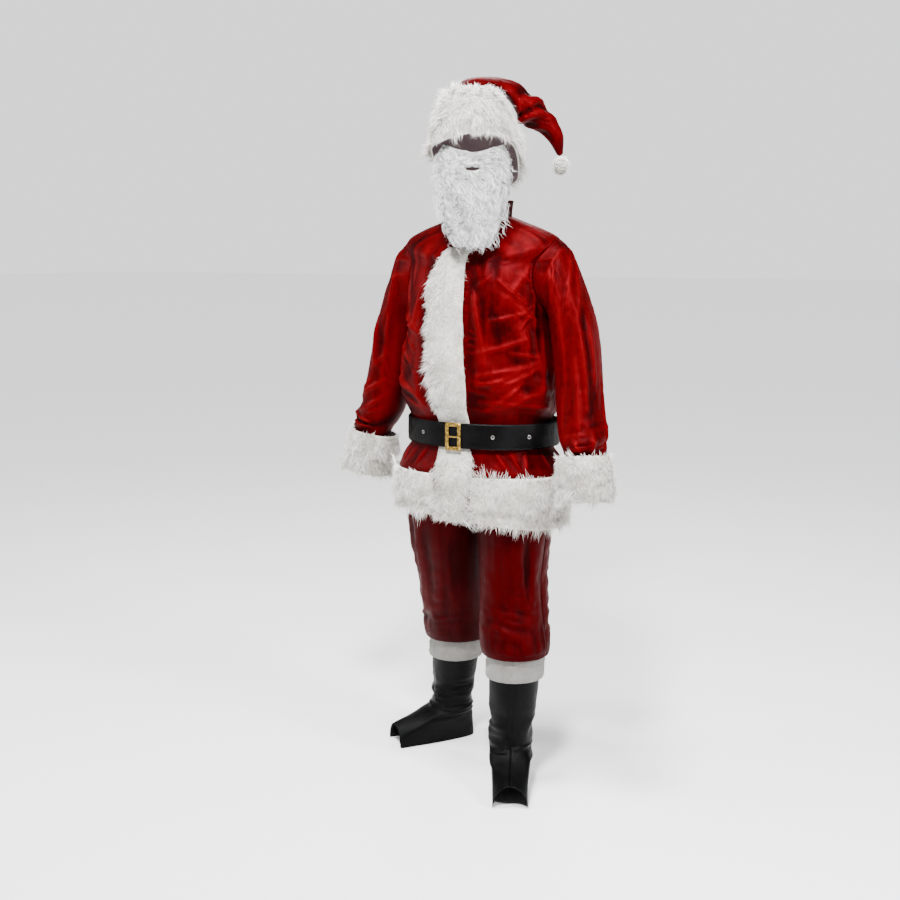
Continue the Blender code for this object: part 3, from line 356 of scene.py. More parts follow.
def loft(name: str, sections: Array, ring: bool = True) -> Mesh:
    """A closed solid through closed sections [section, point, xyz]; ring joins the last one to the first."""
    count, points = sections.shape[:2]
    number = np.arange(count * points).reshape(count, points)
    after = np.roll(number, -1, axis=0) if ring else number[1:]
    before = number if ring else number[:-1]
    quads = np.stack([before, np.roll(before, -1, 1), np.roll(after, -1, 1), after], axis=-1).reshape(-1, 4)
    lists = quads.tolist() + ([] if ring else [number[0].tolist(), number[-1][::-1].tolist()])
    mesh = solid(name, sections.reshape(-1, 3), lists)
    body = bmesh.new()
    body.from_mesh(mesh)
    bmesh.ops.recalc_face_normals(body, faces=body.faces)
    body.to_mesh(mesh)
    body.free()
    return mesh


def tube(path: Array, radius: Values, sides: int, ring: bool, flat: float = 1.0) -> Array:
    """Round sections along a path, turned by the path's own direction.

    Args:
        path: points of the centre line.
        radius: one radius, or one for each point.
        sides: points of a section.
        ring: whether the path is closed.
        flat: share of the radius kept across the plane of the path.

    Returns:
        Sections for loft.
    """
    way = unit(np.roll(path, -1, axis=0) - np.roll(path, 1, axis=0) if ring else np.gradient(path, axis=0))
    plane = unit(np.cross(way, path - path.mean(axis=0)).sum(axis=0))
    side = np.cross(plane, way)
    turn = full_turn(sides)
    radius = np.broadcast_to(radius, len(path))[:, None, None]
    across = radius * np.cos(turn)[None, :, None] * side[:, None]
    return path[:, None] + across + radius * flat * np.sin(turn)[None, :, None] * plane[None, None]


def spikes(name: str, lines: Array, width: Array, tone: Array) -> Mesh:
    """Closed three-sided tapering hairs along centre lines, with a UV map of tone and share of the length.

    Args:
        name: the mesh's name.
        lines: centre lines [hair, step, xyz] from root to tip.
        width: radius of each hair at its root.
        tone: a number from 0 to 1 for each hair, how dark it is, which holds painted shade.

    Returns:
        The mesh, lowered to the frame's origin.
    """
    hairs, steps = lines.shape[:2]
    way = unit(np.gradient(lines, axis=1))
    side = unit(np.cross(way, np.array([0.31, 0.52, 0.8])))
    up = np.cross(way, side)
    share = np.linspace(0, 1, steps)
    radius = width[:, None] * (1 - share[None, :-1] ** 2) * (0.75 + 0.25 * share[None, :-1])
    turn = full_turn(3)[:, None]
    spoke = np.cos(turn) * side[:, :-1, None] + np.sin(turn) * up[:, :-1, None]
    ring = lines[:, :-1, None] + radius[..., None, None] * spoke
    each = 3 * (steps - 1) + 1
    points = np.concatenate([ring.reshape(hairs, -1, 3), lines[:, -1:]], axis=1).reshape(-1, 3)
    first = np.arange(steps - 2)[:, None] * 3
    a, b = np.arange(3)[None, :], (np.arange(3)[None, :] + 1) % 3
    sides = np.stack([first + a, first + b, first + 3 + b, first + 3 + a], axis=-1).reshape(-1)
    last = 3 * (steps - 2)
    tips = np.stack([last + a[0], last + b[0], np.full(3, each - 1)], axis=-1).reshape(-1)
    corner = np.concatenate([[0, 2, 1], sides, tips])
    sizes = np.r_[3, np.full(3 * (steps - 2), 4), np.full(3, 3)]
    loops = (corner[None] + each * np.arange(hairs)[:, None]).ravel()
    totals = np.tile(sizes, hairs)
    mesh = bpy.data.meshes.new(name)
    mesh.vertices.add(len(points))
    mesh.vertices.foreach_set("co", (points - CARRY).ravel())
    mesh.loops.add(len(loops))
    mesh.loops.foreach_set("vertex_index", loops)
    mesh.polygons.add(len(totals))
    mesh.polygons.foreach_set("loop_start", np.r_[0, np.cumsum(totals)[:-1]])
    mesh.update(calc_edges=True)
    mesh.validate()
    reach = np.r_[np.repeat(share[:-1], 3), 1.0][corner]
    chart = np.stack([np.repeat(tone, len(corner)), np.tile(reach, hairs)], axis=1)
    mesh.uv_layers.new(name="chart").data.foreach_set("uv", chart.ravel())
    mesh.shade_smooth()
    return mesh


@dataclass(frozen=True)
class Pile:
    """Hairs of a fur: how many, their size in metres, how they stand and how they gather in locks."""

    count: int
    length: float
    width: float  # radius at the root
    rise: float  # how far a hair leaves along the normal, as a share of its length
    lock: float  # size of a lock
    pull: float  # how far a hair leans to its lock's middle
    swing: float  # how much the locks' directions differ
    stray: float = 0.2  # how much the hairs of a lock differ
    wave: float = 0.0  # radius of a curl
    turns: float = 0.0  # turns of a curl
    steps: int = 3
    seed: int = 1
    clump: float = 0.045  # size of the patches of long and short hair; the short patches get painted shade
    foot_shade: float = 0.55  # painted shade: how much darker the foot of the fur is than its top

    def grow(self, name: str, grid: Array, wrap: bool, lay: Callable[[Array, Array, Array, Array], Array],
             reach: Callable[[Array, Array], Array] | None = None) -> Mesh:
        """Hairs on a grid: each leaves along the normal, bends to its lay and leans to its lock's middle.

        Args:
            name: the mesh's name.
            grid: the surface's points.
            wrap: whether the grid goes all round.
            lay: gives each hair's direction from its root, normal and two shares of the grid.
            reach: gives a factor of the length from the two shares.

        Returns:
            The hairs' mesh.
        """
        draw = np.random.default_rng(self.seed)
        across, along = draw.random(self.count), draw.random(self.count)
        whole = closed(grid, wrap)

        def read(table: Array, u: Array, v: Array) -> Array:
            """Values of a table between its grid points."""
            rows, columns = table.shape[:2]
            x, y = np.clip(u, 0, 1) * (columns - 1), np.clip(v, 0, 1) * (rows - 1)
            i, j = np.minimum(x.astype(int), columns - 2), np.minimum(y.astype(int), rows - 2)
            fx, fy = (x - i)[:, None], (y - j)[:, None]
            low = table[j, i] * (1 - fx) + table[j, i + 1] * fx
            return low * (1 - fy) + (table[j + 1, i] * (1 - fx) + table[j + 1, i + 1] * fx) * fy

        root, out = read(whole, across, along), read(normals(grid, wrap), across, along)
        wide = np.linalg.norm(np.diff(whole, axis=1), axis=2).sum(axis=1).mean()
        tall = np.linalg.norm(np.diff(grid, axis=0), axis=2).sum(axis=0).mean()
        locks = np.array([max(2, round(wide / self.lock)), max(2, round(tall / self.lock))])
        shake = draw.uniform(-0.9, 0.9, (2, self.count)) * 0.5
        place = np.floor(np.stack([across, along]) * locks[:, None] + shake)
        mine = np.clip(place, 0, locks[:, None] - 1).astype(int)
        habit = np.random.default_rng(self.seed + 7).uniform(-1, 1, (6, *locks))[:, mine[0], mine[1]]
        middle = (mine + 0.5 + 0.4 * habit[:2]) / locks[:, None]
        target = read(whole, middle[0], middle[1])
        loose = self.stray * draw.normal(0, 1, (self.count, 3))
        direction = lay(root, out, across, along) + self.swing * habit[2:5].T + loose
        clump = wander(across * wide / self.clump, along * tall / self.clump, self.seed + 60)
        long = self.length * (0.72 + 0.45 * draw.random(self.count))
        long = long * (1 + 0.32 * habit[5]) * (1 + 0.2 * clump)
        if reach is not None:
            long = long * reach(across, along)
        t = np.linspace(0, 1, self.steps)[None, :, None]
        bend = out[:, None] * self.rise * (t - 0.4 * t * t) + direction[:, None] * (0.35 * t + 0.65 * t * t)
        lines = root[:, None] + long[:, None, None] * bend + (target - root)[:, None] * self.pull * t**1.3
        if self.wave:
            sway = unit(np.cross(out, direction))
            phase = TURN * (draw.random(self.count) * 0.25 + 0.5 * habit[2])[:, None, None]
            swirl = TURN * self.turns * t + phase
            curl = np.sin(swirl) * sway[:, None] + np.cos(swirl) * out[:, None] * 0.8
            lines = lines + self.wave * np.sqrt(t) * curl
        width = self.width * (0.7 + 0.6 * draw.random(self.count))
        # Painted shade in the tone: darker towards the fur's foot and in the patches of short hair, beside
        # random differences by lock and by hair.
        above = (root[:, 2] - root[:, 2].min()) / np.ptp(root[:, 2])
        shade = self.foot_shade * (1 - ease(above, 0.0, 0.75))
        tone = 0.4 + shade + 0.22 * habit[4] - 0.42 * clump + 0.3 * (draw.random(self.count) - 0.5)
        return spikes(name, lines, width, np.clip(tone, 0, 1))


# ---- finishes
class Graph:
    """Short words for a node tree."""

    def __init__(self, tree: bpy.types.NodeTree) -> None:
        """Keep the tree that nodes go into."""
        self.tree = tree

    def add(self, kind: str, inputs: dict | None = None, **settings: object) -> Node:
        """A node with its settings, and its inputs linked to sockets or set to values."""
        node = self.tree.nodes.new(kind)
        for key, value in settings.items():
            setattr(node, key, value)
        for key, value in (inputs or {}).items():
            self.give(node.inputs[key], value)
        return node

    def give(self, socket: Socket, value: object) -> None:
        """Link a socket to another, or set its value."""
        if isinstance(value, bpy.types.NodeSocket):
            self.tree.links.new(value, socket)
        else:
            socket.default_value = value

    def place(self) -> Socket:
        """Object coordinates, in metres."""
        return self.add("ShaderNodeTexCoord").outputs["Object"]

    def noise(self, vector: Socket, scale: float, detail: float = 3.0, rough: float = 0.55) -> Socket:
        """Soft random values from 0 to 1."""
        words = {"Vector": vector, "Scale": scale, "Detail": detail, "Roughness": rough}
        return self.add("ShaderNodeTexNoise", words).outputs["Fac"]

    def stretch(self, vector: Socket, scale: Place) -> Socket:
        """The vector scaled along its axes."""
        return self.add("ShaderNodeMapping", {"Vector": vector, "Scale": scale}).outputs[0]

    def mix(self, share: object, first: object, second: object) -> Socket:
        """A colour between two."""
        node = self.add("ShaderNodeMix", data_type="RGBA")
        for key, value in (("Factor_Float", share), ("A_Color", first), ("B_Color", second)):
            socket = next(s for s in node.inputs if s.identifier == key)
            self.give(socket, value)
        return next(s for s in node.outputs if s.identifier == "Result_Color")

    def map(self, value: Socket, low: float, high: float, to_low: object = 0.0,
            to_high: object = 1.0) -> Socket:
        """A value carried from one range to another, held at the ends."""
        words = {"Value": value, "From Min": low, "From Max": high, "To Min": to_low, "To Max": to_high}
        return self.add("ShaderNodeMapRange", words).outputs[0]

    def math(self, operation: str, first: object, second: object) -> Socket:
        """One arithmetic step."""
        return self.add("ShaderNodeMath", {0: first, 1: second}, operation=operation).outputs[0]

    def weigh(self, *parts: tuple[Socket, float]) -> Socket:
        """The sum of sockets, each times its weight."""
        terms = [self.math("MULTIPLY", socket, weight) for socket, weight in parts]
        total = terms[0]
        for term in terms[1:]:
            total = self.math("ADD", total, term)
        return total


def group(name: str, sockets: dict[str, object], outputs: Sequence[tuple[str, str]],
          build: Callable[[Graph, dict, dict], None]) -> bpy.types.NodeTree:
    """A shared node group, built once.

    Args:
        name: the group's name.
        sockets: input names, each with its default; a number, a colour of four or None for a vector.
        outputs: names and socket types of what it gives.
        build: fills the group from its inputs and sets the sockets that its outputs take.

    Returns:
        The group.
    """
    tree = bpy.data.node_groups.get(name)
    if tree is not None:
        return tree
    tree = bpy.data.node_groups.new(name, "ShaderNodeTree")
    for key, value in sockets.items():
        kind = "NodeSocketVector" if value is None else VALUE if isinstance(value, float) else COLOUR
        socket = tree.interface.new_socket(name=key, in_out="INPUT", socket_type=kind)
        if value is not None:
            socket.default_value = value
    for key, kind in outputs:
        tree.interface.new_socket(name=key, in_out="OUTPUT", socket_type=kind)
    graph = Graph(tree)
    source, sink = graph.add("NodeGroupInput"), graph.add("NodeGroupOutput")
    results: dict[str, Socket] = {}
    build(graph, {s.name: s for s in source.outputs if s.name}, results)
    for key, socket in results.items():
        tree.links.new(socket, sink.inputs[key])
    return tree


def nap(graph: Graph, given: dict, gives: dict) -> None:
    """Brushed velvet: patches, long streaks down the cloth and crush marks between a deep and a lit red (nap
    mottling that is partly painted sheen), a fine nap, painted shade in the fold valleys and painted
    highlight on the ridges.
    """
    broad = graph.noise(graph.stretch(given["Vector"], (9, 9, 4)), 1.0, 2.0)
    streak = graph.noise(graph.stretch(given["Vector"], (70, 70, 9)), 1.0, 3.0, 0.6)
    crush = graph.noise(given["Vector"], 55.0, 4.0, 0.65)
    fine = graph.noise(given["Vector"], 900.0, 2.0, 0.7)
    # Mottling of the crushed nap, partly painted sheen: it moves the colour toward the lit red.
    rubbed = graph.weigh((broad, 0.45), (streak, 0.3), (crush, 0.25))
    # Painted shade in the fold valleys and painted highlight on the fold ridges.
    ridge = graph.map(given["Raised"], 0.15, 0.95, -0.17, 0.2)
    share = graph.map(graph.math("ADD", rubbed, ridge), 0.3, 0.7)
    gives["Color"] = graph.mix(share, given["Deep"], given["Lit"])
    gives["Roughness"] = graph.map(crush, 0.3, 0.7, given["Gloss"], graph.math("ADD", given["Gloss"], 0.16))
    gives["Height"] = graph.weigh((crush, 0.8), (fine, 0.2))


def grain(graph: Graph, given: dict, gives: dict) -> None:
    """Embossed grain: small cells, soft wrinkles and dull rubbed patches."""
    words = {"Vector": given["Vector"], "Scale": given["Scale"]}
    grains = graph.add("ShaderNodeTexVoronoi", words).outputs["Distance"]
    soft = graph.noise(given["Vector"], 26.0, 3.0, 0.6)
    patch = graph.noise(given["Vector"], 11.0, 2.0)
    gives["Height"] = graph.weigh((grains, 0.35), (soft, 0.65))
    gives["Mask"] = graph.map(patch, 0.38, 0.66)


def fibre(graph: Graph, given: dict, gives: dict) -> None:
    """Hair colour from its UV map: darker at the root as painted shade deep in the fur, paler at the tip, and
    darker still by each hair's tone, which holds painted shade and a little random difference by lock.
    """
    parts = graph.add("ShaderNodeSeparateXYZ", {"Vector": given["Vector"]})
    along = graph.map(parts.outputs[1], 0.0, 0.75)
    body = graph.mix(along, given["Root"], given["Tip"])
    gives["Color"] = graph.mix(graph.map(parts.outputs[0], 0.35, 1.0, 0.0, 0.7), body, given["Root"])


@dataclass(frozen=True)
class Finish:
    """A finish: its material is made once and shared."""

    name: str
    colour: Place

    def material(self) -> bpy.types.Material:
        """The finished material."""
        name = f"{self.name}_finish"
        made = bpy.data.materials.get(name)
        if made is None:
            made = bpy.data.materials.new(name)
            made.use_nodes = True
            graph = Graph(made.node_tree)
            shader = made.node_tree.nodes["Principled BSDF"]
            shader.inputs["Base Color"].default_value = (*self.colour, 1)
            self.dress(graph, shader)
        return made

    def dress(self, graph: Graph, shader: Node) -> None:
        """Give the shader its pattern; a plain finish has none."""

    @staticmethod
    def join(graph: Graph, shader: Node, **words: object) -> None:
        """Link or set the shader's inputs, with _ for a space in their names."""
        for key, value in words.items():
            graph.give(shader.inputs[key.replace("_", " ")], value)

    @staticmethod
    def relief(graph: Graph, height: Socket, depth: float) -> Socket:
        """A normal from a relief of that depth in metres."""
        return graph.add("ShaderNodeBump", {"Height": height, "Distance": depth, "Strength": 1.0}).outputs[0]


@dataclass(frozen=True)
class Velvet(Finish):
    """Shiny velvet painted between a deep red for its shade and a lit red for its highlights."""

    lit: Place = (0.62, 0.012, 0.018)
    gloss: float = 0.36
    sheen: float = 0.35
    silk: float = 0.35

    def dress(self, graph: Graph, shader: Node) -> None:
        """Mottled colour with painted shade and highlight, uneven gloss, nap relief and a red sheen."""
        plain = {"Vector": None, "Deep": (0.2, 0, 0, 1), "Lit": (0.6, 0, 0, 1), "Gloss": 0.4, "Raised": 0.5}
        tree = group("velvet_nap", plain, (("Color", COLOUR), ("Roughness", VALUE), ("Height", VALUE)), nap)
        # Fold heights, for the painted shade in the valleys and the painted highlight on the ridges.
        ridge = graph.add("ShaderNodeAttribute", attribute_name="raised").outputs["Fac"]
        words = {"Vector": graph.place(), "Deep": (*self.colour, 1), "Lit": (*self.lit, 1),
                 "Gloss": self.gloss, "Raised": ridge}
        out = graph.add("ShaderNodeGroup", words, node_tree=tree).outputs
        self.join(graph, shader, Base_Color=out["Color"], Roughness=out["Roughness"],
                  Normal=self.relief(graph, out["Height"], 0.0005), Metallic=self.silk,
                  Sheen_Weight=self.sheen, Sheen_Roughness=0.35, Sheen_Tint=(1.0, 0.03, 0.04, 1),
                  Specular_IOR_Level=0.07, Specular_Tint=(1.0, 0.16, 0.2, 1))


@dataclass(frozen=True)
class Fur(Finish):
    """Hairs that are paler at their tips; the darker root colour is painted shade deep in the fur."""

    # Root colour: painted shade deep in the fur.
    root: Place = (0.66, 0.64, 0.6)
    gloss: float = 0.62

    def dress(self, graph: Graph, shader: Node) -> None:
        """Colour along each hair, with painted shade towards the root."""
        plain = {"Vector": None, "Root": (0.6, 0.6, 0.6, 1), "Tip": (0.9, 0.9, 0.9, 1)}
        tree = group("hair_colour", plain, (("Color", COLOUR),), fibre)
        chart = graph.add("ShaderNodeUVMap", uv_map="chart").outputs[0]
        words = {"Vector": chart, "Root": (*self.root, 1), "Tip": (*self.colour, 1)}
        out = graph.add("ShaderNodeGroup", words, node_tree=tree).outputs
        self.join(graph, shader, Base_Color=out["Color"], Roughness=self.gloss, Sheen_Weight=0.1)


@dataclass(frozen=True)
class Pelt(Finish):
    """The dense short fibre under a fur, or a short plush."""

    shade: Place = (0.55, 0.53, 0.5)
    scale: float = 420.0
    depth: float = 0.0016

    def dress(self, graph: Graph, shader: Node) -> None:
        """Soft fibre relief and uneven tone."""
        place = graph.place()
        fine = graph.noise(graph.stretch(place, (1, 1, 0.35)), self.scale, 4.0, 0.7)
        share = graph.map(graph.weigh((fine, 0.6), (graph.noise(place, 38.0), 0.4)), 0.38, 0.62)
        self.join(graph, shader, Base_Color=graph.mix(share, (*self.shade, 1), (*self.colour, 1)),
                  Normal=self.relief(graph, fine, self.depth), Roughness=0.9, Sheen_Weight=0.15)


@dataclass(frozen=True)
class Hide(Finish):
    """Imitation leather."""

    worn: Place = (0.05, 0.05, 0.055)
    gloss: float = 0.34
    scale: float = 900.0
    depth: float = 0.0012

    def dress(self, graph: Graph, shader: Node) -> None:
        """Embossed grain and dull, greyer rubbed patches."""
        plain = {"Vector": None, "Scale": 900.0}
        tree = group("hide_grain", plain, (("Height", VALUE), ("Mask", VALUE)), grain)
        words = {"Vector": graph.place(), "Scale": self.scale}
        out = graph.add("ShaderNodeGroup", words, node_tree=tree).outputs
        self.join(graph, shader, Base_Color=graph.mix(out["Mask"], (*self.colour, 1), (*self.worn, 1)),
                  Roughness=graph.map(out["Mask"], 0.0, 1.0, self.gloss, self.gloss + 0.18),
                  Normal=self.relief(graph, out["Height"], self.depth), Specular_IOR_Level=0.05)


@dataclass(frozen=True)
class Metal(Finish):
    """Plated metal, darker where it is tarnished."""

    dark: Place = (0.12, 0.07, 0.02)
    gloss: float = 0.3

    def dress(self, graph: Graph, shader: Node) -> None:
        """Tarnish in patches, with a duller surface there."""
        share = graph.map(graph.noise(graph.place(), 240.0, 4.0, 0.7), 0.4, 0.6)
        self.join(graph, shader, Base_Color=graph.mix(share, (*self.dark, 1), (*self.colour, 1)),
                  Roughness=graph.map(share, 0.0, 1.0, self.gloss + 0.25, self.gloss), Metallic=1.0)


@dataclass(frozen=True)
class Woven(Finish):
    """Plain woven tape or backing."""

    scale: float = 150.0

    def dress(self, graph: Graph, shader: Node) -> None:
        """Fine ribs of weave."""
        words = {"Vector": graph.place(), "Scale": self.scale, "Distortion": 1.0}
        rib = graph.add("ShaderNodeTexWave", words, bands_direction="DIAGONAL").outputs["Fac"]
        dim = tuple(0.7 * c for c in self.colour)
        self.join(graph, shader, Base_Color=graph.mix(rib, (*dim, 1), (*self.colour, 1)),
                  Normal=self.relief(graph, rib, 0.0003), Roughness=0.85)


JACKET_VELVET = Velvet("jacket_velvet", (0.01, 0.0, 0.0002), (0.068, 0.0002, 0.0012), 0.4, 0.02, 0.18)
# The jacket's velvet darkened for the collar: painted shade under the beard.
COLLAR_VELVET_SHADED = Velvet("collar_velvet", (0.005, 0.0, 0.0002), (0.018, 0.0, 0.0005), 0.5, 0.01, 0.1)
# The jacket's velvet darkened for the trousers: painted shade below the hem and further from the lamps.
TROUSER_VELVET_SHADED = Velvet("trouser_velvet", (0.005, 0.0, 0.0001), (0.028, 0.0, 0.0005), 0.44, 0.01, 0.12)
# A fur's second colour is its root colour, painted shade deep in the fur.
LONG_FUR = Fur("long_fur_hair", (0.96, 0.94, 0.9), (0.34, 0.315, 0.26))
# The skins under the long fur and the beard are darker than their hairs: painted shade deep in the fur.
FUR_SKIN = Pelt("long_fur_skin", (0.6, 0.58, 0.53), (0.27, 0.25, 0.215))
CURLS = Fur("beard_hair", (0.88, 0.88, 0.88), (0.2, 0.2, 0.2), 0.45)
CURL_SKIN = Pelt("beard_skin", (0.44, 0.44, 0.44), (0.2, 0.2, 0.2), 260.0, 0.0024)
PLUSH = Pelt("boot_plush", (0.18, 0.171, 0.157), (0.115, 0.109, 0.099), 700.0, 0.001)
PLUSH_HAIR = Fur("boot_plush_hair", (0.25, 0.238, 0.219), (0.18, 0.17, 0.157), 0.8)
BOOT_VINYL = Hide("boot_vinyl", (0.0004, 0.0004, 0.0005), (0.0012, 0.0012, 0.0014), 0.3)
BELT_VINYL = Hide("belt_vinyl", (0.001, 0.001, 0.0011), (0.0032, 0.0032, 0.0036), 0.28, 1100.0, 0.0008)
GOLD = Metal("antique_gold", (0.44, 0.28, 0.062), (0.05, 0.027, 0.007), 0.3)
STEEL = Metal("eyelet_steel", (0.36, 0.35, 0.34), (0.12, 0.11, 0.1), 0.3)
TAPE = Woven("elastic_tape", (0.74, 0.72, 0.68))
# The brim's lining: its own mauve, darkened further as painted shade inside the hat.
BACKING_SHADED = Woven("brim_backing", (0.17, 0.115, 0.12), 90.0)
SHADE = Woven("eyelet_shade", (0.01, 0.01, 0.01))


def put(name: str, mesh: Mesh, finish: Finish, nodes: Sequence[str] = (),
        thick: float = 0.0, lining: Finish | None = None) -> bpy.types.Object:
    """Make a mesh a finished piece that rides on the suit's only body.

    Args:
        name: the piece's name.
        mesh: its mesh.
        finish: its outer finish.
        nodes: the frame's nodes that it stands for.
        thick: thickness that grows inwards from an open mesh.
        lining: finish of its inner side, where it differs.

    Returns:
        The piece.
    """
    piece = bpy.data.objects.new(name, mesh)
    bpy.context.scene.collection.objects.link(piece)
    mesh.materials.append(finish.material())
    # Velvet without folds gets a middle value: neither painted shade nor painted highlight.
    if isinstance(finish, Velvet) and "raised" not in mesh.attributes:
        even = np.full(len(mesh.vertices), 0.5)
        mesh.attributes.new("raised", "FLOAT", "POINT").data.foreach_set("value", even)
    if lining is not None:
        mesh.materials.append(lining.material())
    if thick:
        inside = piece.modifiers.new("wall", "SOLIDIFY")
        inside.thickness, inside.offset, inside.use_even_offset = thick, -1.0, False
        inside.material_offset = 1 if lining is not None else 0
    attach(piece, "root")
    if nodes:
        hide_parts(*nodes)
    log.info("%s: %d points for %s", name, len(mesh.vertices), ", ".join(nodes) or "its neighbours")
    return piece


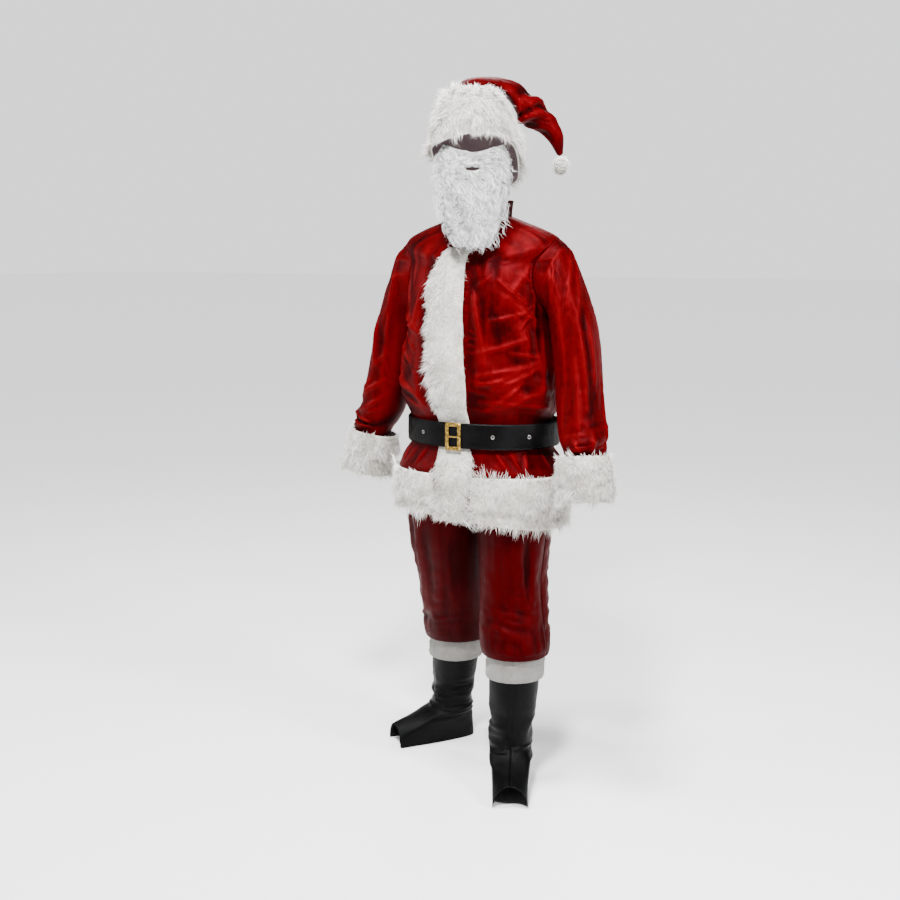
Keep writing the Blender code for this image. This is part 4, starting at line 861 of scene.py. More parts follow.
# ---- jacket
@dataclass
class Jacket:
    """Fronts, back, sleeves and collar, on the same rings as the frame's solids."""

    foot: float = 0.728
    armpit: float = 1.272
    shoulder: float = 1.487
    neck: float = 1.538
    opening: float = 0.012  # how far the fronts' edge is off the middle
    spread: float = 0.2  # metres of the torso's chart a radian
    sleeve_chart: tuple[float, float] = (0.3, 0.56)  # metres of a sleeve's chart a turn, and down it
    # Torso rings: side, front and back height, half width, front and back depth, roundness
    torso_rows: Rows = (
        (0.728, 0.742, 0.735, 0.232, 0.172, 0.176, 2.2), (0.8, 0.8, 0.8, 0.24, 0.17, 0.172, 2.2),
        (0.865, 0.865, 0.865, 0.239, 0.165, 0.166, 2.2), (0.894, 0.894, 0.894, 0.221, 0.153, 0.151, 2.2),
        (0.92, 0.92, 0.92, 0.205, 0.146, 0.143, 2.2), (1.008, 1.008, 1.008, 0.206, 0.146, 0.143, 2.2),
        (1.032, 1.032, 1.032, 0.219, 0.152, 0.15, 2.2), (1.07, 1.07, 1.07, 0.227, 0.157, 0.156, 2.3),
        (1.14, 1.14, 1.14, 0.224, 0.156, 0.154, 2.3), (1.21, 1.21, 1.21, 0.215, 0.152, 0.15, 2.3),
        (1.272, 1.272, 1.272, 0.209, 0.148, 0.147, 2.3), (1.35, 1.345, 1.35, 0.21, 0.141, 0.142, 2.3),
        (1.42, 1.4, 1.425, 0.213, 0.128, 0.131, 2.0), (1.487, 1.438, 1.478, 0.212, 0.106, 0.104, 1.9),
        (1.507, 1.454, 1.502, 0.168, 0.095, 0.091, 1.9), (1.524, 1.464, 1.522, 0.12, 0.086, 0.08, 1.95),
        (1.538, 1.47, 1.536, 0.082, 0.078, 0.07, 2.0),
    )
    # Armhole edge: height, degrees from the centre front, degrees from the centre back
    armhole_rows: Rows = (
        (1.272, 90.0, 90.0), (1.3, 76.0, 75.0), (1.34, 65.0, 63.0), (1.39, 60.0, 58.0),
        (1.43, 62.0, 60.0), (1.462, 71.0, 70.0), (1.487, 90.0, 90.0),
    )
    # Sleeve rings: underarm (out, height), outer side (out, height), y of the middle, half size forwards
    sleeve_rows: tuple[Rows, Rows] = (
        mm(
            (212.5, 1268, 252, 1452, 0, 70), (216, 1256, 284, 1385, 0, 76), (220, 1215, 313, 1310, 0, 77),
            (227, 1160, 334, 1240, -3, 74), (235, 1100, 350, 1155, -10, 71),
            (242, 1050, 360, 1085, -20, 68), (252, 1000, 371, 1020, -34, 66), (267, 957, 386, 974, -50, 64),
            (280, 934, 388, 948, -58, 56), (291, 903, 388, 913, -67, 50),
),
        mm(
            (212.5, 1268, 248, 1448, 0, 70), (215.5, 1256, 273, 1380, 0, 76), (219, 1215, 301, 1308, 0, 77),
            (227, 1160, 326, 1238, 0, 74), (236, 1100, 345, 1155, 0, 71), (245, 1050, 362, 1085, -1, 69),
            (258, 1000, 377, 1020, -3, 67), (278, 964, 394, 982, -6, 64), (293, 944, 398, 960, -9, 56),
            (303.5, 914, 400, 926, -11, 50),
),
    )
    # Cuff: top and foot of its centre line (out, y, height), outer radius
    cuffs: tuple[tuple[Place, Place, float], ...] = (
        ((0.336, -0.062, 0.924), (0.35, -0.08, 0.802), 0.077),
        ((0.346, -0.01, 0.936), (0.368, -0.017, 0.816), 0.075),
    )
    cuff_bore: float = 0.06
    cuff_sides: int = 22  # sides of the bore in the frame's solid
    # Folds of the torso: way round from the front and height of both ends, half width, height
    torso_folds: Rows = mm(
        (102, 1380, 175, 1312, 5, 5.2), (128, 1350, 203, 1307, 4.5, 4.6), (83, 1392, 51, 1364, 5, 3.4),
        (35, 1351, 59, 1213, 5.5, 5.2), (85, 1266, 184, 1286, 5, 4), (182, 1302, 242, 1243, 4.5, 4.6),
        (163, 1286, 244, 1264, 4, 4.2), (143, 1266, 226, 1305, 4, 4.2), (174, 1245, 226, 1296, 4, 4),
        (186, 1234, 203, 1193, 4.5, 4.2), (139, 1183, 240, 1171, 5.5, 4.4), (54, 1182, 206, 1223, 7, 4.8),
        (54, 1125, 189, 1147, 7.5, 6), (93, 1090, 226, 1141, 7.5, 6.6), (78, 1030, 172, 1106, 7, 6.4),
        (59, 1057, 288, 1036, 6.5, 5.5), (44, 1099, 114, 1110, 6, 4.4), (175, 1388, 228, 1357, 4.5, 3.8),
        (27, 1241, 46, 1236, 3, 2.8), (27, 1222, 48, 1219, 3, 2.8), (28, 1203, 45, 1199, 3, 2.8),
        (29, 1184, 47, 1181, 3, 2.8), (-244, 1456, -226, 1331, 5.5, 5.2), (-217, 1286, -74, 1218, 8, 4.4),
        (-231, 1218, -202, 1068, 8, 4.8), (-205, 1400, -170, 1260, 7, 4.2),
        (-225, 1250, -130, 1180, 6, 4.6), (-120, 1330, -165, 1180, 7, 4), (-230, 1190, -110, 1120, 7, 5.2),
        (-100, 1060, -240, 1110, 7, 5.6), (-95, 1030, -200, 1050, 6.5, 5),
        (-110, 1130, -210, 1160, 6, -3.5), (250, 1250, 120, 1330, 13, 5), (230, 1160, 60, 1095, 12, 6),
        (250, 1085, 100, 1035, 11, 6), (40, 1330, 72, 1120, 10, 4.5), (200, 1410, 110, 1300, 12, 4.5),
        (260, 1230, 240, 1060, 11, 5), (-110, 1350, -150, 1150, 11, 5.5), (-235, 1300, -120, 1235, 11, 5.5),
        (-240, 1120, -100, 1055, 11, 6), (-260, 1240, -240, 1080, 10, 5), (450, 1310, 600, 1120, 15, 7),
        (800, 1310, 680, 1120, 15, 7), (400, 1110, 620, 1050, 13, 6.5), (860, 1110, 660, 1050, 13, 6.5),
        (400, 1330, 520, 1180, 8, 5.5), (860, 1340, 740, 1170, 8, 5.5), (370, 1300, 470, 1190, 6, 4.5),
        (890, 1290, 790, 1160, 6, 4.5), (420, 1080, 600, 1120, 8, 6), (640, 1060, 830, 1130, 8, 6),
        (560, 1240, 630, 1050, 9, 5), (700, 1240, 670, 1070, 8, 5), (500, 1035, 760, 1040, 6, 5),
        (360, 1060, 480, 1040, 6, 5), (560, 1450, 600, 1330, 8, 3.5), (700, 1450, 660, 1330, 8, 3.5),
        (105, 925, 135, 868, 6, 5.2), (150, 925, 170, 868, 5.5, 4.6), (205, 925, 180, 868, 6, 5),
        (265, 925, 275, 868, 6, 5), (-90, 925, -110, 868, 6, 5), (-135, 925, -160, 868, 5.5, 4.6),
        (-200, 925, -185, 868, 6, 5), (-260, 925, -240, 868, 6, 4.6), (620, 925, 600, 868, 7, 5.5),
        (470, 925, 480, 868, 7, 5), (540, 925, 555, 868, 6.5, 5), (690, 925, 700, 868, 6.5, 5),
        (760, 925, 780, 868, 7, 5), (390, 925, 400, 868, 7, 4.6),
)
    # Folds of a sleeve: way round from the underarm and way down of both ends, half width, height
    sleeve_folds: tuple[Rows, Rows] = (
        mm(
            (107, 17, 36, 113, 4.5, 5), (118, 23, 47, 113, 4, 4.5), (138, 51, 47, 23, 4, 4),
            (158, 51, 99, 136, 4.5, 5.2), (166, 57, 118, 164, 4.5, 4.6), (47, 124, 43, 272, 4.5, 4.6),
            (95, 238, 91, 373, 4.5, 5.5), (134, 170, 134, 300, 5, 5), (59, 277, 51, 402, 4.5, 5),
            (39, 187, 28, 272, 4, 3.5), (111, 192, 111, 334, 4, 4.6), (75, 140, 70, 260, 4, 4),
            (75, 400, 85, 470, 5, 4.5), (120, 380, 115, 480, 5, 5), (210, 30, 225, 300, 6, 5),
            (165, 280, 160, 480, 5.5, 5), (190, 100, 195, 280, 5, 4.5), (245, 60, 235, 240, 5, 4),
            (250, 300, 200, 380, 5.5, 4.5), (255, 360, 205, 440, 5.5, 4.5),
),
        mm(
            (103, 170, 89, 248, 6, 5.5), (67, 136, 67, 192, 4.5, 4), (130, 45, 67, 74, 4.5, 4.5),
            (130, 34, 43, 68, 4, 4), (114, 339, 32, 260, 5, 6), (99, 373, 32, 300, 5, 6),
            (79, 373, 24, 334, 4.5, 5.5), (91, 260, 51, 215, 4.5, 5), (91, 294, 114, 328, 4.5, 5),
            (67, 215, 28, 300, 4.5, 4.6), (71, 255, 12, 356, 4.5, 4.6), (140, 390, 50, 420, 5, 6),
            (130, 430, 40, 455, 5, 6), (150, 350, 110, 440, 5, 5), (120, 60, 130, 250, 5, 4.5),
            (155, 80, 160, 300, 5.5, 4.5), (210, 330, 270, 430, 6, 5), (200, 60, 215, 260, 5.5, 4.5),
            (190, 300, 230, 400, 5.5, 4.5), (250, 200, 255, 360, 5, 4),
),
    )

    def ring(self, level: Values, index: int) -> Array:
        """One number of the torso's rings at a height."""
        return column([(row[0], row[index]) for row in self.torso_rows], level, 1)

    def base(self, angle: Array, level: Array) -> Array:
        """The frame's own surface: superellipse rings with broad waves at skirt, waist and chest.

        Args:
            angle: angles from the front.
            level: heights above the soles.

        Returns:
            Points of the torso.
        """
        ahead, behind = (np.clip(s * np.cos(angle), 0, 1) ** 2 for s in (1, -1))
        side = self.ring(level, 0)
        z = side + (self.ring(level, 1) - side) * ahead + (self.ring(level, 2) - side) * behind
        z = z - 0.018 * bump(level, self.foot, 0.05) * np.sin(angle)
        deep = np.where(np.cos(angle) > 0, self.ring(level, 4), self.ring(level, 5))
        x, y = oval(angle, self.ring(level, 3), deep, self.ring(level, 6))
        away = (
            0.0045 * bump(level, 0.8, 0.055) * np.sin(7 * angle + 0.6)
            + 0.0042 * bump(level, 1.055, 0.045) * np.sin(11 * angle + 6 * level)
            + 0.0042 * bump(level, 1.23, 0.1) * np.clip(np.cos(angle), 0, 1) * np.sin(5 * angle + 34 * level)
            + 0.003 * bump(level, 1.14, 0.05) * np.sin(7 * angle - 40 * level)
        )
        reach = np.hypot(x, y) + 1e-9
        return np.stack([x + away * x / reach, y + away * y / reach, z], axis=-1)

    def edges(self, level: Array) -> tuple[Array, Array]:
        """Side seam or armhole edge at each height, as angles from the front and from the back."""
        inside = (level >= self.armpit) & (level <= self.shoulder)
        found = (np.radians(column(self.armhole_rows, level, i)) for i in (1, 2))
        return tuple(np.where(inside, angle, math.pi / 2) for angle in found)

    def folded(self, angle: Array, level: Array, calm: Array) -> tuple[Array, Array]:
        """The base moved out by its folds, none where calm is 0, and the folds' heights.

        Args:
            angle: angles from the front.
            level: heights above the soles.
            calm: share of the folds kept at each point.

        Returns:
            The points, and the height of listed folds, streaks and crumples together.
        """
        u = angle * self.spread
        flat = calm * ease(level, 0.868, 0.885) * (1 - 0.85 * bump(level, 0.965, 0.045))
        placket = ease(np.abs(u + 0.012 + 0.02 * ease(level, 1.0, 1.25)), 0.034, 0.052)
        flat = flat * np.where(np.abs(angle) < math.pi / 2, placket, 1)
        streak = crests(u / 0.03 + 0.7 * level, level / 0.18, 11) * 0.0024 * ease(level, 1.02, 1.16)
        cross = crests(u / 0.06, level / 0.024 + u / 0.12, 12) * 0.0026 * bump(level, 1.065, 0.075)
        small = crests(u / 0.02, level / 0.018, 13) * 0.0006 + wander(u / 0.04, level / 0.04, 14) * 0.0018
        away = flat * (1.2 * creases(u, level, self.torso_folds) - 0.0012 + streak + cross + small)
        points = self.base(angle, level)
        return points + unit(points * (1, 1, 0)) * away[..., None], away

    def levels(self) -> Array:
        """Row heights, with rows exactly on armpit, shoulder and neck."""
        ends = (self.foot, self.armpit, self.shoulder, self.neck)
        parts = [np.linspace(a, b, n) for a, b, n in zip(ends, ends[1:], (140, 62, 18))]
        return np.concatenate([parts[0], parts[1][1:], parts[2][1:]])

    def panels(self) -> None:
        """Two fronts and the back, from edge to edge in angle at each height."""
        level = self.levels()
        tall = level[:, None]
        ahead, behind = self.edges(level)
        half = self.ring(level, 3)
        opening = np.arcsin(np.clip(self.opening / half, 0, 0.4))
        gap = np.where(level > self.armpit, 1.5 * ALLOWANCE, SEAM) / half
        spans = (
            ("jacket_front_left", opening + gap, ahead - gap, 100, (0.36, 0.80), 0.243),
            ("jacket_front_right", opening - gap, gap - ahead, 100, (0.37, 0.80), 0.251),
            ("jacket_back", math.pi - behind + gap, math.pi + behind - gap, 112, (0.74, 0.82), 0.530),
        )
        for node, start, end, count, flat, area in spans:
            share = np.linspace(0, 1, count)[None]
            angle = start[:, None] + (end - start)[:, None] * share
            from_edge = np.minimum(share, 1 - share) * abs(end - start)[:, None]
            calm = ease(from_edge, 0.0, 0.09) * ease(self.neck - tall, 0.0, 0.02)
            grid, away = self.folded(angle, tall + 0 * angle, calm)
            sewn = from_edge * self.spread
            pucker = 0.0011 * crests(tall / 0.013, sewn / 0.05, 16) * bump(sewn, 0.009, 0.007)
            pucker = pucker * ease(1.53 - tall, 0.0, 0.02) * ease(tall, 1.02, 1.05)
            grid = grid + pucker[..., None] * rays(angle)
            raised = np.pad(away + 2 * pucker, ((0, 0), (1, 1)), mode="edge")
            mesh = wall(node, turned_in(grid), raised=raised)
            piece = put(f"{node}_cloth", mesh, JACKET_VELVET, [node])

    def cuff_ends(self, side: Side) -> tuple[Array, Array]:
        """Top and foot of a cuff's centre line."""
        cuff = self.cuffs[side is Side.RIGHT]
        return tuple(np.array(p) * (side.value, 1, 1) for p in cuff[:2])

    def sleeve(self, side: Side, count: int = 112, rows: int = 130) -> None:
        """A sleeve through its rings, from the armhole's edge to its seam in the cuff's bore."""
        around = full_turn(count)
        level = np.linspace(self.armpit, self.shoulder, count // 2 + 1)
        ahead, behind = self.edges(level)
        front, back = self.base(side.value * ahead, level), self.base(side.value * (math.pi - behind), level)
        hole = np.concatenate([front[:-1], back[::-1][:-1]])
        rings = [hole + (side.value * (SEAM + ALLOWANCE), 0, 0)]
        sine, cosine = np.sin(around)[:, None], np.cos(around)[:, None]
        for under, under_z, outer, outer_z, y, ahead_half in self.sleeve_rows[side is Side.RIGHT]:
            middle = np.array([side.value * (under + outer) / 2, y, (under_z + outer_z) / 2])
            outwards = np.array([side.value * (outer - under) / 2, 0, (outer_z - under_z) / 2])
            rings.append(middle - cosine * outwards + sine * np.array([0, -ahead_half, 0]))
        top, foot = self.cuff_ends(side)
        way = unit(foot - top)
        forwards = unit(np.array([0, -1.0, 0]) + way * way[1])
        outwards = side.value * np.cross(forwards, way)
        radius = self.cuff_bore * math.cos(math.pi / self.cuff_sides) - 1.5 * SEAM
        rings.append(top + (foot - top) * 0.4 + radius * (sine * forwards - cosine * outwards))
        grid = through(np.stack(rings).reshape(len(rings), -1), rows).reshape(rows, count, 3)
        along = np.linspace(0, 1, rows)[:, None]
        away = unit(grid - grid.mean(axis=1, keepdims=True))
        turn, down = around[None] / TURN * self.sleeve_chart[0], along * self.sleeve_chart[1]
        waves = 0.004 * bump(along, 0.45, 0.22) * np.sin(3 * side.value * around[None] + 3 * along)
        waves += 0.0042 * bump(along, 0.8, 0.14) * np.sin(2 * side.value * around[None] + 30 * along)
        streak = crests(turn / 0.025, down / 0.22, 21 + side.value, 12) * 0.0038 * bump(along, 0.35, 0.3)
        cross = crests(turn / 0.075, down / 0.026 + turn / 0.15, 24 + side.value, 4)
        cross *= 0.0034 * bump(along, 0.8, 0.13)
        small = crests(turn / 0.012, down / 0.016, 27, 25) * 0.0009
        gather = crests(turn / 0.0115, down / 0.1, 29, 26) * 0.002 * bump(along, 0.06, 0.07)
        named = 1.35 * creases(turn, down, self.sleeve_folds[side is Side.RIGHT]) - 0.0012
        clear = 1 - np.clip(1.4 * np.cos(around), 0, 1)[None]
        folds = (waves + streak + cross + small + named) * ease(along, 0.02, 0.12)
        folds = (folds + gather * ease(along, 0.0, 0.03)) * clear * (1 - ease(along, 0.9, 0.97))
        name = f"jacket_sleeve_{side.word}"
        grid = grid + away * folds[..., None]
        edge = grid[:1] - TURNED * away[:1]
        raised = np.pad(folds - waves, ((1, 0), (0, 0)), mode="edge")
        mesh = wall(name, np.concatenate([edge, grid]), wrap=True, raised=raised)
        piece = put(f"{name}_cloth", mesh, JACKET_VELVET, [name])

    def collar(self) -> None:
        """A stand collar open at the front: the neck ring lifted and slightly flared."""
        angle = np.linspace(math.radians(16), math.radians(350), 90)
        base = self.base(angle, np.full_like(angle, self.neck))
        lift = np.linspace(0, 1, 14)[:, None]
        out = unit(base * (1, 1, 0))
        flare = 0.004 * lift**2 + 0.0006 * crests(angle[None] / 0.22, lift * 1.5, 31) * ease(lift, 0.15, 0.6)
        grid = base[None] + (0.0006 + 0.0394 * lift)[..., None] * UP + flare[..., None] * out[None]
        name = "jacket_collar"
        piece = put(f"{name}_cloth", surface(name, grid), COLLAR_VELVET_SHADED, [name], thick=0.003)

    def build(self) -> None:
        """All of the jacket's cloth."""
        self.collar()
        self.panels()
        for side in Side:
            self.sleeve(side)


# ---- fur trims
@dataclass
class Trims:
    """Placket, hem and cuffs of long fur: a skin a few millimetres thick and its hairs."""

    jacket: Jacket
    seam_z: float = 0.862
    low: float = 0.738
    high: float = 1.456
    hem_z: float = 0.73
    hem_half: float = 0.262  # half width of the skirt, for the angles of the hem's ends
    bore_skin: float = 0.0042  # a cuff's skin over its bore
    # Placket: height, wearer's right edge, wearer's left edge, depth of the fur
    placket_rows: Rows = mm(
        (738, -42, 46, 22), (800, -44, 48, 24), (865, -46, 54, 24), (900, -48, 50, 18), (922, -48, 42, 8.3),
        (1006, -50, 38, 8.3), (1030, -58, 36, 18), (1080, -64, 34, 22), (1160, -70, 26, 21),
        (1240, -78, 21, 20), (1320, -86, 20, 20), (1380, -82, 21, 19), (1430, -68, 23, 18),
        (1456, -52, 24, 14),
)

    def placket(self) -> None:
        """A strip on the right front over the opening: the torso moved out by the fur's rounded depth."""
        rows, count = 110, 16
        height = np.linspace(self.low, self.high, rows)[:, None]
        right, left, deep = (column(self.placket_rows, height, i) for i in (1, 2, 3))
        share = np.linspace(0, 1, count)[None]
        wide = (left - right) * 0.5
        x = (left + right) / 2 + (share * 2 - 1) * (wide - 0.003)
        level, half = (column([(r[1], r[i]) for r in self.jacket.torso_rows], height, 1) for i in (0, 3))
        base = self.jacket.base(np.arcsin(np.clip(x / half, -0.9, 0.9)), level + 0 * x)
        base[..., 2] = height
        lumps = 1 + 0.28 * wander(x / 0.03, height / 0.035, 41)
        round_off = 0.1 + 0.9 * np.sin(math.pi * (0.02 + 0.96 * share)) ** 0.5
        crisp_edge = 1 - 0.75 * ease(share, 0.86, 1.0)
        out = 0.003 * (1 + 2 * bump(height, self.high, 0.04)) * crisp_edge + 0.45 * deep * lumps * round_off
        grid = base - out[..., None] * np.array([0, 1, 0])
        mesh = surface("placket_skin", grid)
        piece = put("placket_skin", mesh, FUR_SKIN, ["fur_placket"], thick=0.0028)
        depth = column(self.placket_rows, np.linspace(self.low, self.high, 60), 3) / 0.022

        def lay(root: Array, out: Array, across: Array, along: Array) -> Array:
            """Down the strip, and out over its free edge."""
            free = np.clip(1 - across * 1.25, -0.1, 1)[:, None]
            low = (1 - ease(along, 0.2, 0.42))[:, None] * ease(across, 0.55, 1.0)[:, None]
            crisp = ease(across, 0.8, 1.0)[:, None] * np.array([0.35, 0, 0])
            aside = free * np.array([-0.42, 0, 0.1]) + low * np.array([0.85, 0, 0.1])
            return -0.75 * UP + aside + crisp + 0.1 * out

        def reach(across: Array, along: Array) -> Array:
            """Long at the free edge, short along the crisp one and under the belt."""
            skirt = 0.4 * ease(across, 0.6, 1) * (1 - ease(along, 0.2, 0.42))
            sides = 0.6 + 0.3 * np.clip(1 - across * 1.6, 0, 1) + skirt
            return sides * np.interp(along, np.linspace(0, 1, 60), depth)

        # Less painted shade at the foot of the placket's fur.
        pile = Pile(8000, 0.024, 0.0007, 0.55, 0.021, 0.42, 0.36, seed=3, foot_shade=0.15)
        hair = put("placket_hair", pile.grow("placket_hair", grid, False, lay, reach), LONG_FUR)

    def hem(self) -> None:
        """A band round the skirt from one side of the placket to the other."""
        low = [row for row in self.placket_rows if row[0] < self.seam_z + 0.01]
        right, left = min(r[1] for r in low) - 0.003, max(r[2] for r in low) + 0.003
        start, end = math.asin(left / self.hem_half), TURN - math.asin(-right / self.hem_half)
        angle = np.linspace(start, end, 200)[None]
        share = np.linspace(0, 1, 22)[:, None]
        level = self.hem_z + (self.seam_z - 0.004 - self.hem_z) * share
        base = self.jacket.base(angle, level + 0 * angle)
        lumps = 1 + 0.35 * wander(angle / 0.16, share * 3.2, 44)
        seam = 1 - 0.75 * bump(share, 0.22, 0.035)
        out = 0.0017 + 0.0085 * lumps * seam * np.sin(math.pi * (0.1 + 0.86 * share)) ** 0.5
        grid = base + out[..., None] * rays(angle)
        piece = put("hem_skin", surface("hem_skin", grid), FUR_SKIN, ["fur_hem"], thick=0.0016)

        def lay(root: Array, out: Array, across: Array, along: Array) -> Array:
            """Down the band; the uppermost hairs stand over the seam here and there."""
            tuft = 0.5 + 0.5 * ease(wander(across * 40, along * 0, 46), -0.4, 0.4)
            top = (ease(along, 0.82, 0.97) * tuft)[:, None]
            ends = (bump(across, 0.0, 0.015) - bump(across, 1.0, 0.015))[:, None] * np.array([-0.9, -0.15, 0])
            return -0.85 * UP + top * 2.1 * UP + ends + 0.15 * out

        def reach(across: Array, along: Array) -> Array:
            """Longest at the lower edge."""
            return (0.8 + 0.15 * (1 - ease(along, 0.0, 0.25))) * (1 - 0.55 * bump(along, 0.24, 0.035))

        pile = Pile(10800, 0.022, 0.0007, 0.58, 0.022, 0.45, 0.4, seed=4)
        hair = put("hem_hair", pile.grow("hem_hair", grid, False, lay, reach), LONG_FUR)

    def cuff(self, side: Side) -> None:
        """A tube round the sleeve's end: a rounded band on a straight centre line."""
        inner, outer = self.jacket.cuff_bore + self.bore_skin, self.jacket.cuffs[side is Side.RIGHT][2]
        top, foot = self.jacket.cuff_ends(side)
        way = unit(foot - top)
        first = unit(np.cross(way, (0, 1.0, 0)))
        second = np.cross(way, first)
        turn = full_turn(80)[None]
        share = np.linspace(0, 1, 20)[:, None]
        lumps = 1 + 0.25 * wander(turn / TURN * 14, share * 3.5, 47 + side.value, 14)
        seam = 1 - 0.8 * bump(share, 0.62, 0.04)
        rounded = np.sin(math.pi * (0.06 + 0.88 * share)) ** 0.45
        radius = inner + (outer - inner) * 0.5 * lumps * seam * rounded
        around = np.cos(turn)[..., None] * first + np.sin(turn)[..., None] * second
        grid = top + (foot - top) * (0.02 + 0.96 * share)[..., None] + radius[..., None] * around
        name = f"fur_cuff_{side.word}"
        mesh = surface(name, grid, wrap=True)
        piece = put(f"cuff_skin_{side.word}", mesh, FUR_SKIN, [name], thick=0.0036)

        def lay(root: Array, out: Array, across: Array, along: Array) -> Array:
            """Towards the hand, and back over the sleeve at the upper edge."""
            return way * 0.8 - way * 1.5 * (1 - ease(along, 0.0, 0.1))[:, None] + 0.1 * out

        def reach(across: Array, along: Array) -> Array:
            """Shorter at both edges and along the sewn line."""
            return (0.75 + 0.25 * np.sin(math.pi * along)) * (1 - 0.55 * bump(along, 0.6, 0.035))

        pile = Pile(5200, 0.02, 0.0007, 0.6, 0.021, 0.45, 0.42, seed=6 + side.value)
        hair = put(f"cuff_hair_{side.word}", pile.grow(name, grid, True, lay, reach), LONG_FUR)

    def build(self) -> None:
        """All fur of the jacket."""
        self.placket()
        self.hem()
        for side in Side:
            self.cuff(side)


# ---- belt
@dataclass
class Belt:
    """Strap, buckle, prong and eyelets."""

    low: float = 0.931
    high: float = 0.999
    half: tuple[float, float] = (0.2145, 0.1585)
    roundness: float = 2.1
    shift: float = 0.005  # middle of the ring, to the wearer's left
    thick: float = 0.0026
    inset: float = 0.001  # depth over which the strap's edges round off
    buckle: tuple[float, float] = (0.003, -0.003)  # its middle: x, and height over the strap's middle
    outer: tuple[float, float] = (0.024, 0.0375)  # half width and half height of the frame
    inner: tuple[float, float] = (0.0125, 0.0265)  # and of its opening
    deep: float = 0.005
    prong: float = 0.0022  # radius
    eyelets: tuple[float, ...] = (0.111, 0.19, -0.1)
    eyelet_radius: float = 0.0043
    eyelet_bead: float = 0.0009

    def line(self, angle: Values, out: Values) -> tuple[Array, Array]:
        """Points of the belt's ring, moved out."""
        x, y = oval(angle, self.half[0] + out, self.half[1] + out, self.roundness)
        return x + self.shift, y

    def strap(self) -> None:
        """A flat band on edge with rounded edges and soft dents beside the buckle and eyelets."""
        angle = full_turn(240)
        z = np.linspace(-1, 1, 17)
        edge = np.sqrt(np.clip(1 - np.abs(z) ** 14, 0, 1))
        height = self.low + 0.0004 + (self.high - self.low - 0.0008) * (z + 1) / 2
        turn = angle[:, None]
        dent = 0.0006 * wander(turn * 9, z[None] * 2, 51) + 0.0004 * crests(turn * 16, z[None] * 3, 52)
        dent = dent * (np.abs(self.line(angle, 0)[0] - self.buckle[0]) > 0.026)[:, None]
        bow = np.clip(dent, -0.0005, 0.001) * (1 - z[None] ** 6)
        height = height + 0 * bow
        near = self.inset * (1 - edge) + 0 * bow
        far = self.inset + (self.thick - self.inset) * edge + bow
        inner, outer = (np.stack([*self.line(turn, out), height], axis=-1) for out in (near, far))
        mesh = loft("belt_strap", np.concatenate([inner, outer[:, ::-1]], axis=1))
        piece = put("belt_strap_band", mesh, BELT_VINYL, ["belt_strap"])
        thread = 0.00045 * (0.55 + 0.45 * np.abs(np.sin(angle * 100)))
        for word, edge_z in (("foot", self.low + 0.0045), ("top", self.high - 0.0045)):
            path = np.stack([*self.line(angle, self.thick + 0.0002), edge_z + 0 * angle], axis=-1)
            put(f"belt_edge_line_{word}", loft("line", tube(path, thread, 6, True)), BELT_VINYL)

    def frame(self) -> None:
        """A rectangular frame of beads on a rounded bar, a boss at each corner, and the prong across it."""
        front = float(self.line(np.array([0.0]), self.thick)[1][0]) - SEAM
        x, up = self.buckle
        centre = np.array([x, front - self.deep * 0.5, (self.low + self.high) / 2 + up])
        wide, tall = ((a + b) / 2 for a, b in zip(self.outer, self.inner))
        bar = (self.outer[0] - self.inner[0]) / 2
        corners = np.array([(-wide, -tall), (wide, -tall), (wide, tall), (-wide, tall), (-wide, -tall)])
        sides = zip(corners, corners[1:], (80, 140, 80, 140))
        run = np.concatenate([np.linspace(a, b, n, endpoint=False) for a, b, n in sides])
        path = centre + np.stack([run[:, 0], 0 * run[:, 0], run[:, 1]], axis=-1)
        length = np.cumsum(np.r_[0, np.linalg.norm(np.diff(path, axis=0), axis=1)])
        beads = np.abs(np.sin(length / length[-1] * math.pi * 44))
        near = np.minimum(np.abs(np.abs(run[:, 0]) - wide) + np.abs(np.abs(run[:, 1]) - tall), 0.02)
        radius = bar * (0.62 + 0.22 * beads + 0.16 * bump(near, 0, 0.004))
        ridge = tube(path, radius, 12, True, flat=0.42)
        put("belt_buckle_beads", loft("buckle", ridge), GOLD, ["belt_buckle"])
        for name, scale in (("inner", -0.72), ("outer", 0.72)):
            shift = np.sign(run) * np.where(np.abs(np.abs(run) - (wide, tall)) < 1e-6, bar * scale, 0)
            x, z = (run + shift).T
            rim = centre + np.stack([x, -0.0002 + 0 * x, z], axis=-1)
            put(f"belt_buckle_{name}_rim", loft("rim", tube(rim, bar * 0.2, 6, True)), GOLD)
        t = np.linspace(-1, 1, 24)
        y = centre[1] - self.deep * 0.5 - self.prong + 0.0006 * t**2
        middle = np.stack([self.buckle[0] + 0.0215 * t, y, centre[2] + 0 * t], axis=-1)
        turn = full_turn(12)
        ring = self.prong * np.stack([0 * turn, np.cos(turn), np.sin(turn)], axis=-1)
        size = (0.95 - 0.3 * ease(t, 0.2, 1.0)) * (1 - 0.55 * ease(np.abs(t), 0.94, 1.0))
        sections = middle[:, None] + size[:, None, None] * ring[None]
        put("belt_prong_bar", loft("prong", sections, ring=False), GOLD, ["belt_prong"])

